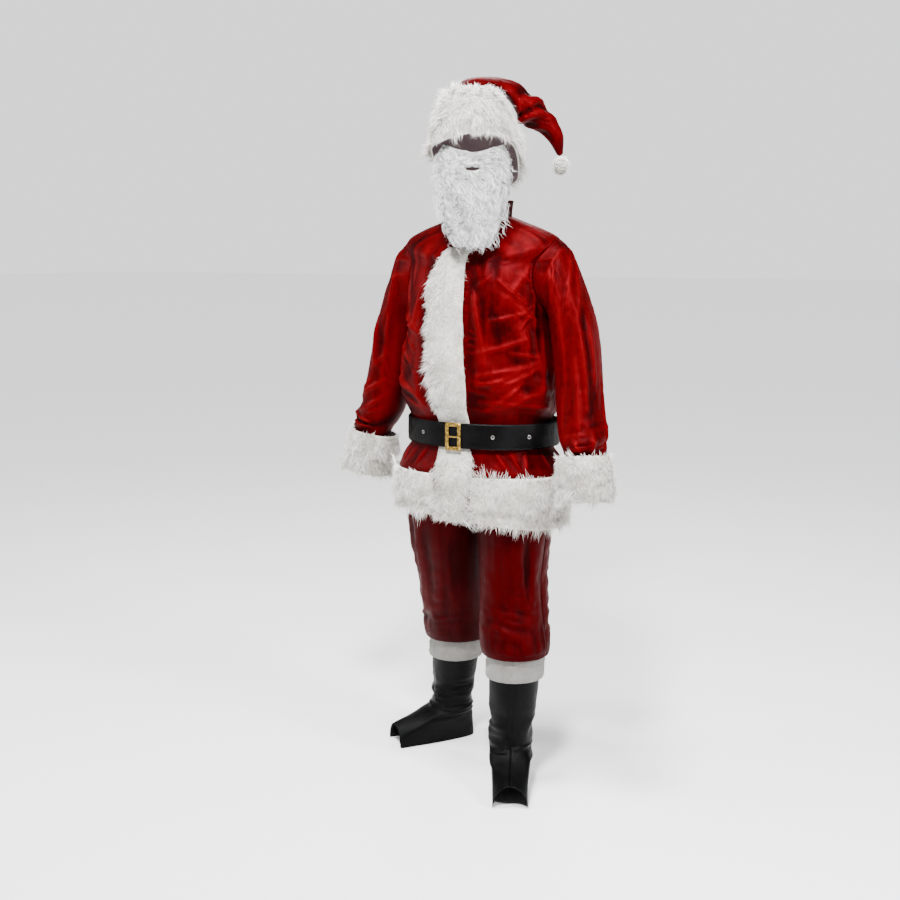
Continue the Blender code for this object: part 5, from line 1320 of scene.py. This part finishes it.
    def eyelet(self, number: int, x: float) -> None:
        """A rounded flange ring turned about the strap's normal, and a dark disc inside it, painted shade
        that stands for its hole.
        """
        share = (x - self.shift) / (self.half[0] + self.thick)
        angle = math.asin(math.copysign(abs(share) ** (self.roundness / 2), share))
        here, near = (np.array(self.line(a, self.thick)) for a in (angle, angle + 0.01))
        way = np.append(unit(near - here), 0)
        out = np.array([way[1], -way[0], 0])
        place = np.append(here, (self.low + self.high) / 2) + out * 0.0006
        turn, profile = full_turn(28), full_turn(8)
        radius = self.eyelet_radius + self.eyelet_bead * np.cos(profile)
        lift = 0.0008 * np.sin(profile)
        around = np.cos(turn)[:, None] * way + np.sin(turn)[:, None] * UP
        sections = place + radius[None, :, None] * around[:, None] + (lift + 0.0006)[None, :, None] * out
        put(f"belt_eyelet_{number}_ring", loft("eyelet", sections), STEEL, [f"belt_eyelet_{number}"])
        # A dark disc for the hole: painted shade.
        rows = np.array([(0.0038, 0.0002), (0.0038, 0.0008), (0.0004, 0.0006), (0.0004, 0.0002)])
        disc = place + rows[None, :, :1] * around[:, None] + rows[None, :, 1:] * out
        put(f"belt_eyelet_{number}_hole", loft("hole", disc), SHADE)

    def build(self) -> None:
        """The whole belt."""
        self.strap()
        self.frame()
        for number, x in enumerate(self.eyelets, start=1):
            self.eyelet(number, x)


# ---- trousers
@dataclass
class Trousers:
    """Four panels and a waistband."""

    crotch: float = 0.79
    seat_top: float = 0.905
    waist: float = 1.02
    waist_half: tuple[float, float] = (0.169, 0.115)
    band: float = 0.0317  # height of the waistband
    # Seat rings: height, half width, half depth
    seat_rows: Rows = mm((1020, 170, 116), (945, 184, 127), (880, 202, 136), (790, 212, 140))
    # Leg rings down to the foot: height, x, y, half width, half depth
    legs: tuple[Rows, Rows] = (
        mm(
            (790, 101, 0, 98.5, 124), (715, 104, -3, 99, 113), (640, 105, -10, 93, 104),
            (565, 108, -20, 87, 97), (500, 116, -32, 88, 95), (440, 128, -49, 93, 97),
            (395, 139, -61, 95.5, 97), (370, 143, -66, 91.5, 92),
),
        mm(
            (790, -103, 0, 100.5, 124), (715, -109, 6, 107, 117), (640, -109, 16, 103.5, 109),
            (565, -110, 33, 97, 101), (500, -113, 50, 94, 98), (425, -121, 73, 95, 97),
            (360, -129, 91, 95.5, 96), (335, -132, 97, 91.5, 92),
),
    )
    # The foot turned in to the elastic inside the boot: height over the lowest ring, half width, half depth
    turned_rows: Rows = mm(
        (0.5, 85.5, 86), (6.5, 81.5, 82), (7.4, 72, 72), (2, 60, 60), (-15, 54, 54),
)
    elastic: tuple[tuple[float, float], tuple[float, float]] = ((0.144, -0.067), (-0.132, 0.097))

    def panel(self, side: Side, back: bool, count: int = 48) -> None:
        """One panel from centre seam to side seam and from the waist to the gathered foot."""
        rows, middle = self.legs[side is Side.RIGHT], self.elastic[side is Side.RIGHT]
        turned = [(rows[-1][0] + up, *middle, half, deep) for up, half, deep in self.turned_rows]
        leg = through(np.array([*rows, *turned]), 120)
        seat = np.repeat(leg[:1], 24, axis=0)
        seat[:, 0] = np.linspace(self.waist, self.crotch, 25)[:-1]
        share = np.linspace(0, 1, count)[None]
        z, cx, cy, half, deep = (np.concatenate([seat, leg])[:, i, None] + 0 * share for i in range(5))
        gap = 2 * SEAM / 0.09
        turn = np.clip(math.pi * (share - 0.5), gap - math.pi / 2, math.pi / 2 - gap)
        flip = -1 if back else 1
        foot = rows[6][0]
        outer = np.clip(0.5 + 0.5 * np.sin(turn), 0, 1) * np.clip(np.cos(turn) * 4, 0, 1)
        broad = 0.0045 * bump(z, 0.6, 0.1) * np.sin(4 * turn + 9 * z)
        broad = broad + 0.0035 * bump(z, foot + 0.03, 0.035) * np.sin(8 * turn)
        fine = outer * self.folds(turn * 0.1, z, foot, 60 + 2 * side.value + flip)
        fold = outer * broad + fine
        leg_x = cx + side.value * (half + fold) * np.sin(turn)
        leg_y = cy - flip * (deep + fold) * np.cos(turn)
        angle = np.clip(share * math.pi / 2, 0, math.pi / 2 - gap)
        wide, thick = (column(self.seat_rows, z, i) for i in (1, 2))
        seat_x, seat_y = side.value * (wide * np.sin(angle) + SEAM), -thick * np.cos(angle)
        blend = ease(self.seat_top - z, 0, self.seat_top - self.crotch)
        x = (1 - blend) * seat_x + blend * leg_x
        y = (1 - blend) * flip * seat_y + blend * leg_y
        name = f"trouser_{'back' if back else 'front'}_{side.word}"
        raised = np.pad(fine, ((0, 0), (1, 1)), mode="edge")
        mesh = wall(name, turned_in(np.stack([x, y, z], axis=-1)), raised=raised)
        piece = put(f"{name}_cloth", mesh, TROUSER_VELVET_SHADED, [name])

    @staticmethod
    def folds(u: Array, z: Array, foot: float, seed: int) -> Array:
        """Long upright folds that end in gathers at the foot, with small crumples.

        Args:
            u: metres round the leg.
            z: heights.
            foot: height where the foot is drawn in.
            seed: first of the patterns' seeds.

        Returns:
            Height of the folds.
        """
        low = z < foot - 0.012
        upright = 0.0098 * ease(z, foot + 0.02, foot + 0.12) * (1 - ease(z, 0.74, 0.82))
        long = crests(u / 0.026 + 2.2 * z, z / 0.2, seed) * upright
        gather = crests(u / 0.016, z / 0.1, seed + 10) * 0.0034 * bump(z, foot + 0.015, 0.035)
        knee = 0.005 * bump(z, foot + 0.06, 0.05) + 0.0028 * bump(z, 0.57, 0.06)
        cross = crests(u / 0.05, z / 0.022 + u * 9, seed + 20) * knee
        small = crests(u / 0.014, z / 0.02, seed + 40) * 0.0009
        soft = 0.0012 * wander(u / 0.03, z / 0.03, seed + 30)
        return np.where(low, 0, long + gather + cross + small + soft)

    def build(self) -> None:
        """Panels and waistband."""
        angle = full_turn(120)[:, None]
        height = np.linspace(0, 1, 9)[None]
        ruffle = 0.0007 * (1 + np.sin(angle * 60)) * np.sin(math.pi * height)
        z = self.waist + SEAM + self.band * height + 0 * ruffle
        outer, inner = (np.stack([*oval(angle, *(half + out for half in self.waist_half), 2.0), z], axis=-1)
                        for out in (ruffle, 0 * ruffle - 0.002))
        mesh = loft("trouser_waistband", np.concatenate([outer, inner[:, ::-1]], axis=1))
        band = put("trouser_waistband_cloth", mesh, TROUSER_VELVET_SHADED, ["trouser_waistband"])
        for side in Side:
            for back in (False, True):
                self.panel(side, back)


# ---- boot covers
@dataclass
class BootCover:
    """One boot cover: two halves of imitation leather and a cuff of short plush."""

    side: Side
    top: tuple[float, float]  # x and y of the shaft's middle at its rim
    ankle: tuple[float, float]  # and at the ankle
    toe_out: float  # degrees the toe is turned out
    cuff_z: float
    cuff_tall: float = 0.074
    cuff_radius: float = 0.0792
    # Cuff's section: height, how far it lies inside the outer radius
    cuff_rows: Rows = mm(
        (0, 5.5), (0, 3), (1.5, 1), (4, 0.3), (12, 0), (24, 0), (37, 0), (50, 0), (62, 0), (70, 0.3),
        (72.5, 1), (74, 3), (74, 5.5), (62, 5.5),
)
    sink: float = 0.012  # how far the shaft's rim lies under the cuff's top
    foot_z: float = 0.125
    toe_angle: float = math.radians(52)  # part of each half, from the front seam, that ends at the toe edge
    toe: float = 0.184  # from the ankle's middle to the toe edge
    long: float = 0.248  # from the toe edge to the heel
    toe_half: float = 0.047
    # Shaft: share of the way down, radius
    shaft_rows: Rows = ((0.0, 0.0725), (0.25, 0.069), (0.55, 0.065), (0.8, 0.06), (1.0, 0.059))

    def centre(self, height: Array) -> Array:
        """Middle of the shaft at some heights; above its edge the line goes straight up."""
        rim = self.cuff_z + self.cuff_tall - self.sink
        share = np.clip((rim - height) / (rim - self.foot_z), 0, 1)[..., None]
        flat = np.array(self.top) * (1 - share) + np.array(self.ankle) * share
        return np.concatenate([flat, height[..., None]], axis=-1)

    def half(self, outer: bool, count: int = 44) -> Array:
        """One half: shaft rings, then curves to the toe edge and the floor, with folds at the ankle.

        Args:
            outer: whether it is the half on the leg's outer side.
            count: points of a ring.

        Returns:
            The half's grid.
        """
        turn = math.radians(self.toe_out)
        ahead = np.array([math.sin(turn), -math.cos(turn), 0])
        aside = np.array([math.cos(turn), math.sin(turn), 0]) * self.side.value * (1 if outer else -1)
        rim = self.cuff_z + self.cuff_tall - self.sink
        top, ankle = np.array([*self.top, rim]), np.array([*self.ankle, self.foot_z])
        theta = np.linspace(0, math.pi, count)
        ring = np.cos(theta)[:, None] * ahead + np.sin(theta)[:, None] * aside
        share = np.linspace(0, 1, 46)[:, None]
        seed = 80 + 3 * self.side.value + outer
        calm = np.clip(np.sin(theta) * 5, 0, 1)
        wave = 0.0022 * bump(share, 0.85, 0.22) * np.sin(3 * theta + 16 * share)
        ankle_folds = crests(theta[None] / 1.3 + share, share / 0.095, seed)
        wave += calm * 0.0048 * ankle_folds * bump(share, 0.82, 0.19)
        wave += calm * 0.0008 * wander(theta[None] * 2, share * 5, seed + 5) * ease(share, 0.25, 0.5)
        radius = column(self.shaft_rows, share, 1) + wave
        shaft = top + (ankle - top) * share[..., None] + ring[None] * radius[..., None]
        start = shaft[-1]
        at_toe = np.clip(theta / self.toe_angle, 0, 1) * math.pi / 2
        on_floor = np.clip((theta - self.toe_angle) / (math.pi - self.toe_angle), 0, 1) * math.pi / 2
        reach = self.toe - self.long * np.sin(on_floor) ** 1.2
        wide = self.toe_half * np.sin(at_toe) * np.cos(on_floor) ** 0.45
        end = np.array([*self.ankle, 0]) + reach[:, None] * ahead + wide[:, None] * aside
        end[:, 2] = 0.0015 + 0.06 * np.cos(at_toe)
        toward = np.cos(at_toe)[:, None] * (ahead * 0.94 - 0.34 * UP)
        toward = toward - (1 - np.cos(at_toe))[:, None] * UP
        pull, lead = start - 0.04 * UP, end - toward * 0.05
        t = np.linspace(0, 1, 56)[1:, None, None]
        foot = (1 - t) ** 3 * start + 3 * t * (1 - t) ** 2 * pull + 3 * t * t * (1 - t) * lead + t**3 * end
        s = t[..., 0]
        crease = 0.003 * bump(s, 0.22, 0.16) * np.sin(2 * theta + 14 * s) * np.sin(theta)
        ankle_folds = crests(theta[None] + 1.4 * s, s / 0.13, seed + 9)
        crease += calm * 0.0052 * ankle_folds * bump(s, 0.24, 0.22)
        crease += calm * 0.0008 * wander(theta[None] * 2.2, s * 5, seed + 12) * (1 - ease(s, 0.8, 1.0))
        grid = np.concatenate([shaft, foot + ring[None] * crease[..., None]])
        grid[:, [0, -1]] += aside * TOUCH
        return grid

    def cuff(self) -> None:
        """A soft band round the shaft's top, rounded over both edges."""
        turn = full_turn(120)[:, None]
        high, inset = np.array(self.cuff_rows).T[:, None]
        lumps = 0.0012 * np.sin(3 * turn + self.side.value)
        lumps = lumps + 0.0004 * wander(turn / TURN * 40, high * 60, 91, 40)
        groove = -0.0016 * bump(turn, 4.55 + 0.25 * self.side.value, 0.035)
        radius = self.cuff_radius - inset + np.where(inset < 0.0035, lumps + groove, 0)
        away = np.stack([np.cos(turn), np.sin(turn), 0 * turn], axis=-1)
        sections = self.centre(self.cuff_z + high) + away * radius[..., None]
        name = f"boot_cuff_{self.side.word}"
        piece = put(f"{name}_plush", loft(name, sections), PLUSH, [name])
        grid = sections[:, 3:10].transpose(1, 0, 2)
        pile = Pile(2000, 0.0042, 0.0006, 0.9, 0.006, 0.3, 0.5, steps=2, seed=92)
        hairs = pile.grow(name, grid, True, lambda root, out, across, along: -0.5 * UP + 0 * out)
        hair = put(f"{name}_hair", hairs, PLUSH_HAIR)

    def build(self) -> None:
        """Both halves with their seam, and the cuff."""
        for outer in (True, False):
            name = f"boot_{self.side.word}_{'outer' if outer else 'inner'}"
            mesh = wall(name, turned_in(self.half(outer)), thick=VINYL)
            piece = put(f"{name}_skin", mesh, BOOT_VINYL, [name])
        self.cuff()


# ---- head
@dataclass
class Head:
    """Places given from the middle of the head, which looks to the wearer's left."""

    middle: tuple[float, float] = (-0.01, -0.03)
    turn: float = math.radians(27)

    @staticmethod
    def ways(turn: float) -> tuple[Array, Array]:
        """Level directions to the left of and behind what is turned by that angle."""
        return np.array([math.cos(turn), math.sin(turn), 0]), np.array([-math.sin(turn), math.cos(turn), 0])

    def point(self, aside: Array, back: Array, height: Array) -> Array:
        """Place of a point towards the head's left, to its back, and up."""
        left, rear = self.ways(self.turn)
        x = self.middle[0] + aside * left[0] + back * rear[0]
        y = self.middle[1] + aside * left[1] + back * rear[1]
        return np.stack([x, y, height + 0 * x], axis=-1)


@dataclass
class Beard(Head):
    """Curled beard and moustache with an open mouth."""

    # Height, half width, how far it is ahead, how far its sides go back
    rows: Rows = mm(
        (1716, 84, 112, 88), (1690, 92, 118, 92), (1660, 98, 124, 90), (1625, 101, 133, 86),
        (1585, 96, 141, 74), (1540, 84, 147, 58), (1500, 71, 152, 44), (1468, 56, 155, 32),
        (1440, 34, 156, 18),
)
    mouth_z: float = 1.657
    mouth: tuple[float, float] = (0.205, 0.0085)  # half width as an angle, half height
    up: float = 0.059  # from the mouth to the upper edge
    down: float = 0.201  # from the mouth to the skin's foot
    ear: float = math.radians(80)

    def face(self, angle: Array, level: Array, lift: Array) -> Array:
        """The outer face at an angle from the chin line and a height, moved out by lift."""
        half, ahead, back = (column(self.rows, level, i) for i in (1, 2, 3))
        curl = 0.003 * np.sin(7 * angle + 42 * level) * bump(level, 1.56, 0.09) + lift
        aside = (half + curl) * np.sin(angle)
        rear = -(ahead + curl - back * (1 - np.cos(angle)))
        top = bump(level, self.rows[0][0], 0.03)
        height = level + top * (0.004 * bump(np.abs(angle), 1.2, 0.25) - 0.02 * bump(angle, 0, 0.68))
        return self.point(aside, rear, height)

    def build(self) -> None:
        """A skin on rays from the mouth's edge to the beard's edge, and curled locks on it."""
        phi = full_turn(120)[None]
        s = np.linspace(0, 1, 44)[:, None] ** 1.15
        dx, dy = np.cos(phi), np.sin(phi)
        size = np.maximum(np.abs(dx), np.abs(dy))
        tall = np.where(dy > 0, self.up, self.down)
        angle = (1 - s) * self.mouth[0] * dx + s * self.ear * dx / size
        level = self.mouth_z + (1 - s) * self.mouth[1] * dy + s * tall * dy / size
        lumps = 0.004 * wander(angle * 6, level / 0.02, 101) + 0.0026 * crests(angle * 10, level / 0.014, 102)
        lift = (lumps - 0.003) * ease(s, 0.0, 0.08)
        grid = self.face(angle, level, lift)
        mesh = surface("beard", grid, wrap=True)
        piece = put("beard_skin", mesh, CURL_SKIN, ["beard"], thick=0.009)
        left = self.ways(self.turn)[0]

        def lay(root: Array, out: Array, across: Array, along: Array) -> Array:
            """Down, and sideways over the mouth's corners for the moustache."""
            aside = (root[:, :2] - self.middle) @ left[:2]
            high = ease(root[:, 2], 1.64, 1.675) * bump(aside, 0, 0.05)
            return -0.8 * UP + (np.sign(aside) * high)[:, None] * left * 1.1 + 0.12 * out

        def reach(across: Array, along: Array) -> Array:
            """Short round the mouth and under the eyes, longest in the middle of the foot."""
            foot = ease(along, 0.6, 1.0) * ease(-np.sin(TURN * across), 0.3, 0.75)
            corner = bump(np.abs(np.cos(TURN * across)), 0.72, 0.16)
            brow = ease(along, 0.75, 1.0) * ease(np.sin(TURN * across), 0.3, 0.7)
            lip = ease(np.sin(TURN * across), 0.1, 0.7) * (1 - ease(along, 0.35, 0.75))
            grown = 0.1 + 0.9 * ease(along, 0.05, 0.34)
            return grown * (1 - foot * (0.1 + 0.1 * corner)) * (1 - 0.45 * brow - 0.5 * lip)

        pile = Pile(2000, 0.027, 0.001, 0.46, 0.02, 0.62, 0.5, 0.08, 0.006, 1.5, steps=8, seed=8, clump=0.03)
        hair = put("beard_locks", pile.grow("beard_locks", grid, True, lay, reach), CURLS)
        elastic = bpy.data.objects["beard_elastic"].data.materials
        elastic.clear()
        elastic.append(TAPE.material())


@dataclass
class Hat(Head):
    """Fur brim, velvet crown with its falling tail, and the pompom."""

    # Brim by degrees from the face: lower edge, upper edge
    brim_rows: Rows = (
        (-180, 1.632, 1.84), (-130, 1.668, 1.848), (-90, 1.708, 1.858), (-50, 1.724, 1.862),
        (0, 1.742, 1.866), (50, 1.73, 1.862), (78, 1.704, 1.858), (105, 1.642, 1.854), (140, 1.626, 1.846),
        (180, 1.632, 1.84),
)
    opening: tuple[float, float] = (0.093, 0.107)  # half width and half depth at the lower edge
    # Share of the brim's height: share of the opening there, and of the fur's depth
    dome: Rows = ((0.0, 1.0), (0.3, 0.97), (0.65, 0.86), (1.0, 0.62))
    depth: Rows = ((0, 0.45), (0.3, 1.0), (0.65, 1.05), (1.0, 0.5))
    fur: float = 0.022
    # Crown: along the fall, behind it, height, radius along, radius across, lean in degrees
    crown_rows: Rows = (
        (-0.01, -0.02, 1.875, 0.054, 0.06, 6.0), (0.016, -0.016, 1.875, 0.046, 0.056, 24.0),
        (0.052, -0.006, 1.866, 0.037, 0.05, 55.0), (0.088, 0.004, 1.846, 0.038, 0.046, 88.0),
        (0.114, 0.012, 1.821, 0.038, 0.042, 116.0), (0.14, 0.018, 1.799, 0.034, 0.036, 136.0),
        (0.172, 0.024, 1.776, 0.0265, 0.029, 144.0), (0.197, 0.028, 1.742, 0.019, 0.02, 160.0),
        (0.208, 0.03, 1.703, 0.0085, 0.0085, 171.0),
    )
    fall: float = math.radians(30)
    pompom_place: Place = (0.211, 0.031, 1.672)
    core: float = 0.0175  # radius of the pompom without its hairs

    def edge(self, turn: Array, index: int) -> Array:
        """Lower (1) or upper (2) edge height of the brim."""
        signed = np.degrees((turn + math.pi) % TURN - math.pi)
        return column(self.brim_rows, signed, index)

    def brim(self) -> None:
        """A domed band with fur outside and cloth inside."""
        turn = full_turn(112)[None]
        share = np.linspace(0, 1, 26)[:, None]
        low, high = self.edge(turn, 1), self.edge(turn, 2)
        z = low + (high - low) * share
        flare = 0.014 * np.clip((high - 0.045 - z) / 0.09, 0, None)
        lumps = 1 + 0.25 * wander(turn / TURN * 22, share * 4, 111, 22)
        fur = column(self.depth, share, 1) * self.fur * 0.42 * lumps + 0.002
        wide, deep = (size * column(self.dome, share, 1) + flare + fur for size in self.opening)
        x, y = oval(turn, wide, deep, 2.0)
        grid = self.point(x, y, z)
        mesh = surface("hat_brim", grid, wrap=True)
        piece = put("hat_brim_skin", mesh, FUR_SKIN, ["hat_brim"], thick=0.0045, lining=BACKING_SHADED)

        def lay(root: Array, out: Array, across: Array, along: Array) -> Array:
            """Down over the forehead, up over the crown at the upper edge."""
            lift = ease(along, 0.55, 0.95)[:, None]
            return (0.3 * lift - 0.75 * (1 - lift)) * UP + 0.25 * out

        def reach(across: Array, along: Array) -> Array:
            """Longer in the fringe over the forehead."""
            front = bump(np.minimum(across, 1 - across), 0.0, 0.14) * (1 - ease(along, 0.0, 0.2))
            return 1.15 - 0.2 * ease(along, 0.0, 0.2) - 0.3 * ease(along, 0.85, 1.0) - 0.3 * front

        pile = Pile(10800, 0.025, 0.0007, 0.66, 0.024, 0.46, 0.42, seed=9)
        hair = put("hat_brim_hair", pile.grow("hat_brim_hair", grid, True, lay, reach), LONG_FUR)

    def crown(self) -> None:
        """Velvet from the brim's upper edge over the head and down the tail, crumpled where it bends."""
        count, rows = 96, 120
        turn = full_turn(count)
        tail, behind = self.ways(self.fall)
        wide, deep = (size * self.dome[-1][1] + 0.3 * self.fur for size in self.opening)
        x, y = oval(turn, wide, deep, 2.0)
        rings = [self.point(x, y, self.edge(turn, 2) + 2 * ALLOWANCE)]
        out = rays(turn + self.turn)
        along, across = (out @ tail)[:, None], (out @ behind)[:, None]
        for fall, back, z, radius, broad, lean in self.crown_rows:
            lean = math.radians(lean)
            tilted = tail * math.cos(lean) - UP * math.sin(lean)
            middle = fall * tail + back * behind + z * UP
            rings.append(middle + radius * along * tilted + broad * across * behind)
        grid = through(np.stack(rings).reshape(len(rings), -1), rows).reshape(rows, count, 3)
        away = unit(grid - grid.mean(axis=1, keepdims=True))
        step = np.linspace(0, 1, rows)[:, None]
        u = turn[None] / TURN
        crumple = 0.004 * bump(step, 0.6, 0.16) * np.sin(3 * turn[None] + 40 * step)
        crumple += 0.0042 * crests(u * 5, step * 20 + u * 5, 121, 5) * bump(step, 0.6, 0.16)
        ends = ease(step, 0.06, 0.2) * (1 - ease(step, 0.85, 1))
        crumple += 0.003 * crests(u * 7, step * 6, 122, 7) * ends
        crumple += 0.0016 * crests(u * 14, step * 34 + u * 14, 123, 14) * bump(step, 0.62, 0.22)
        grid = grid + away * crumple[..., None]
        mesh = wall("hat_crown", grid, True, pole=grid[-1].mean(axis=0) - 0.009 * UP, raised=crumple)
        piece = put("hat_crown_cloth", mesh, JACKET_VELVET, ["hat_crown"])

    def pompom(self) -> None:
        """Hairs all round a small ball."""
        centre = np.array(self.pompom_place) @ np.stack([*self.ways(self.fall), UP])
        turn = full_turn(40)[None]
        tilt = np.linspace(0.02, math.pi - 0.02, 24)[:, None]
        flat, up = np.sin(tilt), np.cos(tilt)
        ball = np.stack([flat * np.cos(turn), flat * np.sin(turn), up + 0 * turn], axis=-1)
        grid = centre + ball * self.core * (1 + 0.1 * wander(turn / TURN * 8, tilt * 2, 131, 8))[..., None]
        first = grid[:1].mean(axis=1, keepdims=True) * 0.98 + grid[:1] * 0.02
        core = surface("hat_pompom_core", np.concatenate([first, grid]), True, grid[-1].mean(axis=0))
        pile = Pile(2200, 0.0062, 0.0006, 1.5, 0.006, 0.25, 0.35, steps=2, seed=10)
        hairs = pile.grow("hat_pompom_hair", grid, True, lambda root, out, across, along: 0.35 * out)
        put("hat_pompom_hair", hairs, LONG_FUR, ["hat_pompom"])
        put("hat_pompom_core", core, FUR_SKIN)

    def build(self) -> None:
        """The whole hat."""
        self.pompom()
        self.brim()
        self.crown()


# ---- studio
@dataclass(frozen=True)
class Studio:
    """Camera, lights, floor and sky."""

    camera_place: Place = (1.6497, -3.0313, -0.07)
    azimuth: float = math.radians(30)
    tilt: float = math.radians(9)
    lens: float = 50.64
    sensor: float = 36.0
    sky_light: float = 0.2
    sky_seen: float = 1.5
    sun: Place = (-0.1, -0.22, 1.0)
    sun_power: float = 5.6
    sun_angle: float = math.radians(14)
    # Lamps: place, height they aim at, size, power
    lamps: Rows = (
        (0.7, -1.9, 1.7, -0.1, 0.5, 300.0),
        (-2.9, -1.5, 0.9, -0.3, 0.7, 80.0),
        (3.0, -0.6, 0.8, -0.3, 0.7, 170.0),
        (-1.2, 2.6, 1.6, -0.4, 1.4, 60.0),
    )
    floor_z: float = -1.5205
    floor_half: float = 60.0

    @staticmethod
    def hang(name: str, data: bpy.types.ID, place: Place = (0, 0, 0),
             turn: Place = (0, 0, 0)) -> bpy.types.Object:
        """An object of the studio at a place, turned."""
        thing = bpy.data.objects.new(name, data)
        thing.location, thing.rotation_euler = place, turn
        bpy.context.scene.collection.objects.link(thing)
        return thing

    @staticmethod
    def aimed(x: float, y: float, z: float) -> Place:
        """The turn of a light that shines back along a direction."""
        return math.atan2(math.hypot(x, y), z), 0, math.atan2(x, -y)

    def build(self) -> None:
        """Put all of it in the scene."""
        lens = bpy.data.cameras.new("camera")
        lens.lens, lens.sensor_width = self.lens, self.sensor
        camera = self.hang("camera", lens, self.camera_place, (math.pi / 2 - self.tilt, 0, self.azimuth))
        bpy.context.scene.camera = camera
        for number, (x, y, z, aim, size, power) in enumerate(self.lamps):
            light = bpy.data.lights.new(f"lamp_{number}", "AREA")
            light.shape, light.size, light.energy = "DISK", size, power
            self.hang(light.name, light, (x, y, z), self.aimed(x, y, z - aim))
        sun = bpy.data.lights.new("sun", "SUN")
        sun.energy, sun.angle = self.sun_power, self.sun_angle
        self.hang("sun", sun, turn=self.aimed(*self.sun))
        world = bpy.data.worlds.new("sky")
        world.use_nodes = True
        graph = Graph(world.node_tree)
        seen = graph.add("ShaderNodeLightPath").outputs["Is Camera Ray"]
        sky = world.node_tree.nodes["Background"]
        graph.give(sky.inputs["Color"], (1, 1, 1, 1))
        graph.give(sky.inputs["Strength"], graph.map(seen, 0.0, 1.0, self.sky_light, self.sky_seen))
        bpy.context.scene.world = world
        mesh = bpy.data.meshes.new("floor")
        wide = self.floor_half
        corners = ((-wide, -wide), (wide, -wide), (wide, wide), (-wide, wide))
        mesh.from_pydata([(x, y, self.floor_z) for x, y in corners], [], [(0, 1, 2, 3)])
        mesh.materials.append(Finish("floor_paper", (0.86, 0.86, 0.86)).material())
        floor = self.hang("floor", mesh)


def main() -> None:
    """Build the studio and every sub-assembly."""
    logging.basicConfig(level=logging.INFO, format="%(name)s: %(message)s")
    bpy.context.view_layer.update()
    Studio().build()
    jacket = Jacket()
    jacket.build()
    Trims(jacket).build()
    Belt().build()
    Trousers().build()
    BootCover(Side.LEFT, (0.144, -0.067), (0.136, -0.076), 27.0, 0.303).build()
    BootCover(Side.RIGHT, (-0.132, 0.097), (-0.17, 0.134), -38.0, 0.268).build()
    Beard().build()
    Hat().build()


if __name__ == "__main__":
    main()
